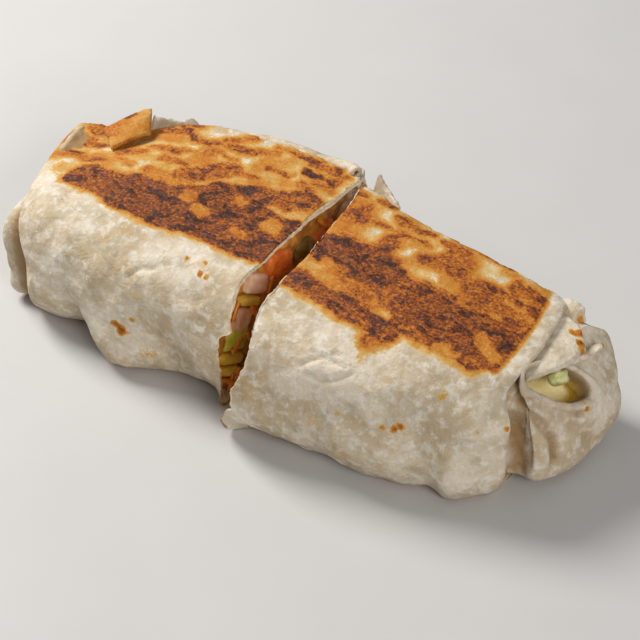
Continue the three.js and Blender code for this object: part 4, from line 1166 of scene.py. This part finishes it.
# Those that the sauce coats or that are painted dark as shade, by what they are and their y, and what they
# become.
SAUCED_OR_SHADED = {
    "left": {("chicken", -5.4): "sauced", ("chicken", 17.8): "sauced", ("celery", 7.2): "dark"},
    "right": {("chicken", -17.6): "sauced", ("chicken", 24.0): "sauced"},
}
FOODS = {
    "chicken": food_material("cooked_chicken", (0.7, 0.44, 0.28), (0.9, 0.72, 0.56), 5.0, 0.45, 0.15, 0.08),
    "celery": food_material("celery", (0.50, 0.54, 0.03), (0.72, 0.76, 0.14), 4.0, 0.3, 0.3, 0.03),
    "pepper": food_material("yellow_pepper", (0.74, 0.50, 0.03), (0.88, 0.70, 0.12), 4.5, 0.3, 0.3, 0.10),
    "sauced": food_material("sauced_chicken", (0.70, 0.11, 0.012), (0.86, 0.28, 0.04), 3.0, 0.3, 0.4, 0.5),
    # A celery slice deep in the shadow of the cut, painted near black-brown as shade.
    "dark": food_material("shade_dark_celery", (0.15, 0.10, 0.015), (0.36, 0.26, 0.04), 3.0, 0.3, 0.3, 0.2),
}


def rounded_block(rows, around, squareness, sizes, *uneven):
    """Loops of a block with rounded corners, of given sizes, swollen by uneven layers of lumps."""
    latitude = np.linspace(0.02, math.pi - 0.02, rows)[:, None]
    longitude = np.arange(around)[None, :] * (2 * math.pi / around)
    way = np.stack(np.broadcast_arrays(
        np.cos(latitude), np.sin(latitude) * np.cos(longitude), np.sin(latitude) * np.sin(longitude)
    ), axis=-1)
    reach = (abs(way) ** squareness).sum(-1) ** (-1 / squareness)
    reach = reach * (1 + layered(way * 10, *uneven)) / 2
    return way * reach[..., None] * np.array(sizes)


def add_chopped(side, number, kind, y, z, wide, high, turn, count):
    """A chopped piece at a cut, set into the mixture by most of its depth."""
    spec = SIDES[side]
    body = spec["body"][0]
    seed = 100 * number + len(side)
    uneven = ((0.08, 8.0, seed), (0.03, 3.0, seed + 1))
    points = rounded_block(*BLOCK_FACES, SQUARENESS[kind], (DEPTH[kind], wide, high), *uneven)
    if kind == "celery":
        points[..., 2] -= 0.035 * (points[..., 1] ** 2 - (wide / 3) ** 2)
    angle = math.radians(turn)
    across = points[..., 1] * math.cos(angle) - points[..., 2] * math.sin(angle)
    up = points[..., 1] * math.sin(angle) + points[..., 2] * math.cos(angle)
    cut = body["x"] + body.get("shear", 0) * (y - body["y"])
    middle = cut + spec["out"] * (FACE_DEPTH - PROUD + DEPTH[kind] / 2)
    points = np.stack([points[..., 0] + middle, across + y, up + z], axis=-1)
    grid, faces = closed_loft(points, True)
    food = FOODS[SAUCED_OR_SHADED[side].get((kind, y), kind)]
    piece = add_piece(f"{kind}_piece_{side}_{count}", grid, faces, food)
    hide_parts(f"{kind}_{side}_{count}")


for side in SIDES:
    for number, row in enumerate(PIECES[side]):
        count = sum(other[0] == row[0] for other in PIECES[side][: number + 1])
        add_chopped(side, number, *row, count)

# ---------------------------------------------------------------- celery in the mouth
# A pale slice of celery that has slid out into the open mouth of the right end. It is one rounded block, and
# it leans on the wall of the mouth, under the fold of dough that comes down over it.
MOUTH_CELERY = {"place": (82.6, 2.6, 29.7), "size": (5.0, 8.0, 4.4), "turn": (-34, -40, 0)}
MOUTH_CELERY_FACES = (40, 64)
MOUTH_CELERY_SQUARENESS = 2.8


def add_mouth_celery():
    """The slice in the mouth, turned to lean on its wall."""
    uneven = (0.12, 7.0, 311)
    points = rounded_block(*MOUTH_CELERY_FACES, MOUTH_CELERY_SQUARENESS, MOUTH_CELERY["size"], uneven)
    turned = Euler([math.radians(angle) for angle in MOUTH_CELERY["turn"]], "ZYX").to_matrix()
    points = points @ np.array(turned).T + np.array(MOUTH_CELERY["place"])
    grid, faces = closed_loft(points, True)
    pale = food_material("pale_celery", (0.56, 0.56, 0.16), (0.80, 0.80, 0.42), 3.0, 0.25, 0.4, 0.0)
    piece = add_piece("celery_piece_mouth", grid, faces, pale)
    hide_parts("celery_mouth")


add_mouth_celery()

# ---------------------------------------------------------------- carrot shreds
# Raw carrot, grated into short bent strips, that lies on the broken faces, thickest at the foot of the left
# one. A node tree scatters the strips over each face and lays them almost flat on it.
SHRED_SIZES = {"Length": 6.0 * MM, "Width": 1.4 * MM, "Thickness": 0.9 * MM, "Bend": 9.0 * MM}
SHRED_STEPS = 8
SHRED_TILT = 0.3
SHRED_SEED = {"left": 4, "right": 6}
BED_AROUND = 96
BED_LOOPS = 24
CLEAR_OF_WALL = 4.2
PER_SQUARE_METRE = 1e4
# Where they lie: y from and to, z from and to, how many to a square centimetre.
CARROT_PLACES = {
    "left": [(-40, -26, 3, 9.5, 26), (-34, 36, 2, 40, 0.9)],
    "right": [(-36, 34, 2, 40, 1.2)],
}
CARROT = food_material("shredded_carrot", (0.72, 0.20, 0.015), (0.90, 0.38, 0.04), 2.5, 0.3, 0.3, 0.2)


def carrot_tree():
    """Scatters short bent strips over a face, by the number to a square metre in its carrot attribute."""
    tree = bpy.data.node_groups.new("carrot_shreds", "GeometryNodeTree")
    tree.interface.new_socket("Geometry", in_out="INPUT", socket_type="NodeSocketGeometry")
    kinds = {**dict.fromkeys(SHRED_SIZES, "Float"), "Seed": "Int", "Food": "Material"}
    inputs = {
        name: tree.interface.new_socket(name, in_out="INPUT", socket_type="NodeSocket" + kind).identifier
        for name, kind in kinds.items()
    }
    tree.interface.new_socket("Geometry", in_out="OUTPUT", socket_type="NodeSocketGeometry")

    def add(kind, settings=None, sockets=None):
        node = tree.nodes.new(kind)
        for key, value in (settings or {}).items():
            setattr(node, key, value)
        for key, value in (sockets or {}).items():
            if isinstance(value, bpy.types.NodeSocket):
                tree.links.new(value, node.inputs[key])
            else:
                node.inputs[key].default_value = value
        return node.outputs

    given = add("NodeGroupInput")
    sweep = add("ShaderNodeMath", {"operation": "DIVIDE"}, {0: given["Length"], 1: given["Bend"]})[0]
    half = add("ShaderNodeMath", {"operation": "MULTIPLY"}, {0: sweep, 1: -0.5})[0]
    back = add("ShaderNodeMath", {"operation": "MULTIPLY"}, {0: given["Bend"], 1: -1.0})[0]
    offset = add("ShaderNodeCombineXYZ", None, {"X": back})[0]
    bent = {"Resolution": SHRED_STEPS, "Radius": given["Bend"], "Start Angle": half, "Sweep Angle": sweep}
    arc = add("GeometryNodeCurveArc", {"mode": "RADIUS"}, bent)["Curve"]
    flat = {"Width": given["Width"], "Height": given["Thickness"]}
    profile = add("GeometryNodeCurvePrimitiveQuadrilateral", {"mode": "RECTANGLE"}, flat)["Curve"]
    swept = {"Curve": arc, "Profile Curve": profile, "Fill Caps": True}
    strip = add("GeometryNodeCurveToMesh", None, swept)["Mesh"]
    middle = add("GeometryNodeTransform", None, {"Geometry": strip, "Translation": offset})["Geometry"]
    density = add("GeometryNodeInputNamedAttribute", {"data_type": "FLOAT"}, {"Name": "carrot"})["Attribute"]
    spread = {"Mesh": given["Geometry"], "Density": density, "Seed": given["Seed"]}
    points = add("GeometryNodeDistributePointsOnFaces", {"distribute_method": "RANDOM"}, spread)
    least, most = (-SHRED_TILT, -SHRED_TILT, 0.0), (SHRED_TILT, SHRED_TILT, 2 * math.pi)
    angles = {0: least, 1: most, "Seed": given["Seed"]}
    turned = add("FunctionNodeRandomValue", {"data_type": "FLOAT_VECTOR"}, angles)[0]
    by = {"Rotation": points["Rotation"], "Rotate By": turned}
    laid = add("FunctionNodeRotateRotation", {"rotation_space": "LOCAL"}, by)[0]
    placed = {"Points": points["Points"], "Instance": middle, "Rotation": laid}
    strips = add("GeometryNodeInstanceOnPoints", None, placed)["Instances"]
    real = add("GeometryNodeRealizeInstances", None, {"Geometry": strips})[0]
    finished = add("GeometryNodeSetMaterial", None, {"Geometry": real, "Material": given["Food"]})[0]
    add("NodeGroupOutput", None, {"Geometry": finished})
    return tree, inputs


CARROT_TREE, CARROT_INPUTS = carrot_tree()


def carrot_bed(side):
    """The broken face as a plain mesh, with how thickly the shreds lie at each point of it."""
    shares = np.linspace(0.04, 1.0, BED_LOOPS)
    grid = np.concatenate(broken_face(side, FACE_DEPTH - PROUD, CLEAR_OF_WALL, BED_AROUND, shares))
    y, z = grid[..., 1], grid[..., 2]
    thickly = np.zeros(grid.shape[:2])
    for y0, y1, z0, z1, count in CARROT_PLACES[side]:
        free = (y > y0) & (y < y1) & (z > z0) & (z < z1) & (thickly == 0)
        thickly = np.where(free, count * PER_SQUARE_METRE, thickly)
    number = np.arange(thickly.size).reshape(-1, BED_AROUND)
    onwards = np.roll(number, -1, axis=1)
    faces = np.stack([number[:-1], onwards[:-1], onwards[1:], number[1:]], axis=-1).reshape(-1, 4)
    if side == "left":
        faces = faces[:, ::-1]
    mesh = bpy.data.meshes.new("carrot_bed_" + side)
    mesh.from_pydata(((grid.reshape(-1, 3) + CENTRE) * MM).tolist(), [], faces.tolist())
    add_attribute(mesh, "carrot", thickly)
    return mesh


def add_carrot(side):
    """Shreds of carrot that lie on the broken face at a cut."""
    piece = bpy.data.objects.new("carrot_shreds_" + side, carrot_bed(side))
    bpy.context.scene.collection.objects.link(piece)
    scatter = piece.modifiers.new("shreds", "NODES")
    scatter.node_group = CARROT_TREE
    for name, value in {**SHRED_SIZES, "Seed": SHRED_SEED[side], "Food": CARROT}.items():
        scatter[CARROT_INPUTS[name]] = value
    bpy.context.view_layer.update()
    shreds = bpy.data.meshes.new_from_object(piece.evaluated_get(bpy.context.evaluated_depsgraph_get()))
    piece.modifiers.remove(scatter)
    piece.data = shreds
    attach(piece, "root")
    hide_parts("filling_" + side)


for side in SIDES:
    add_carrot(side)
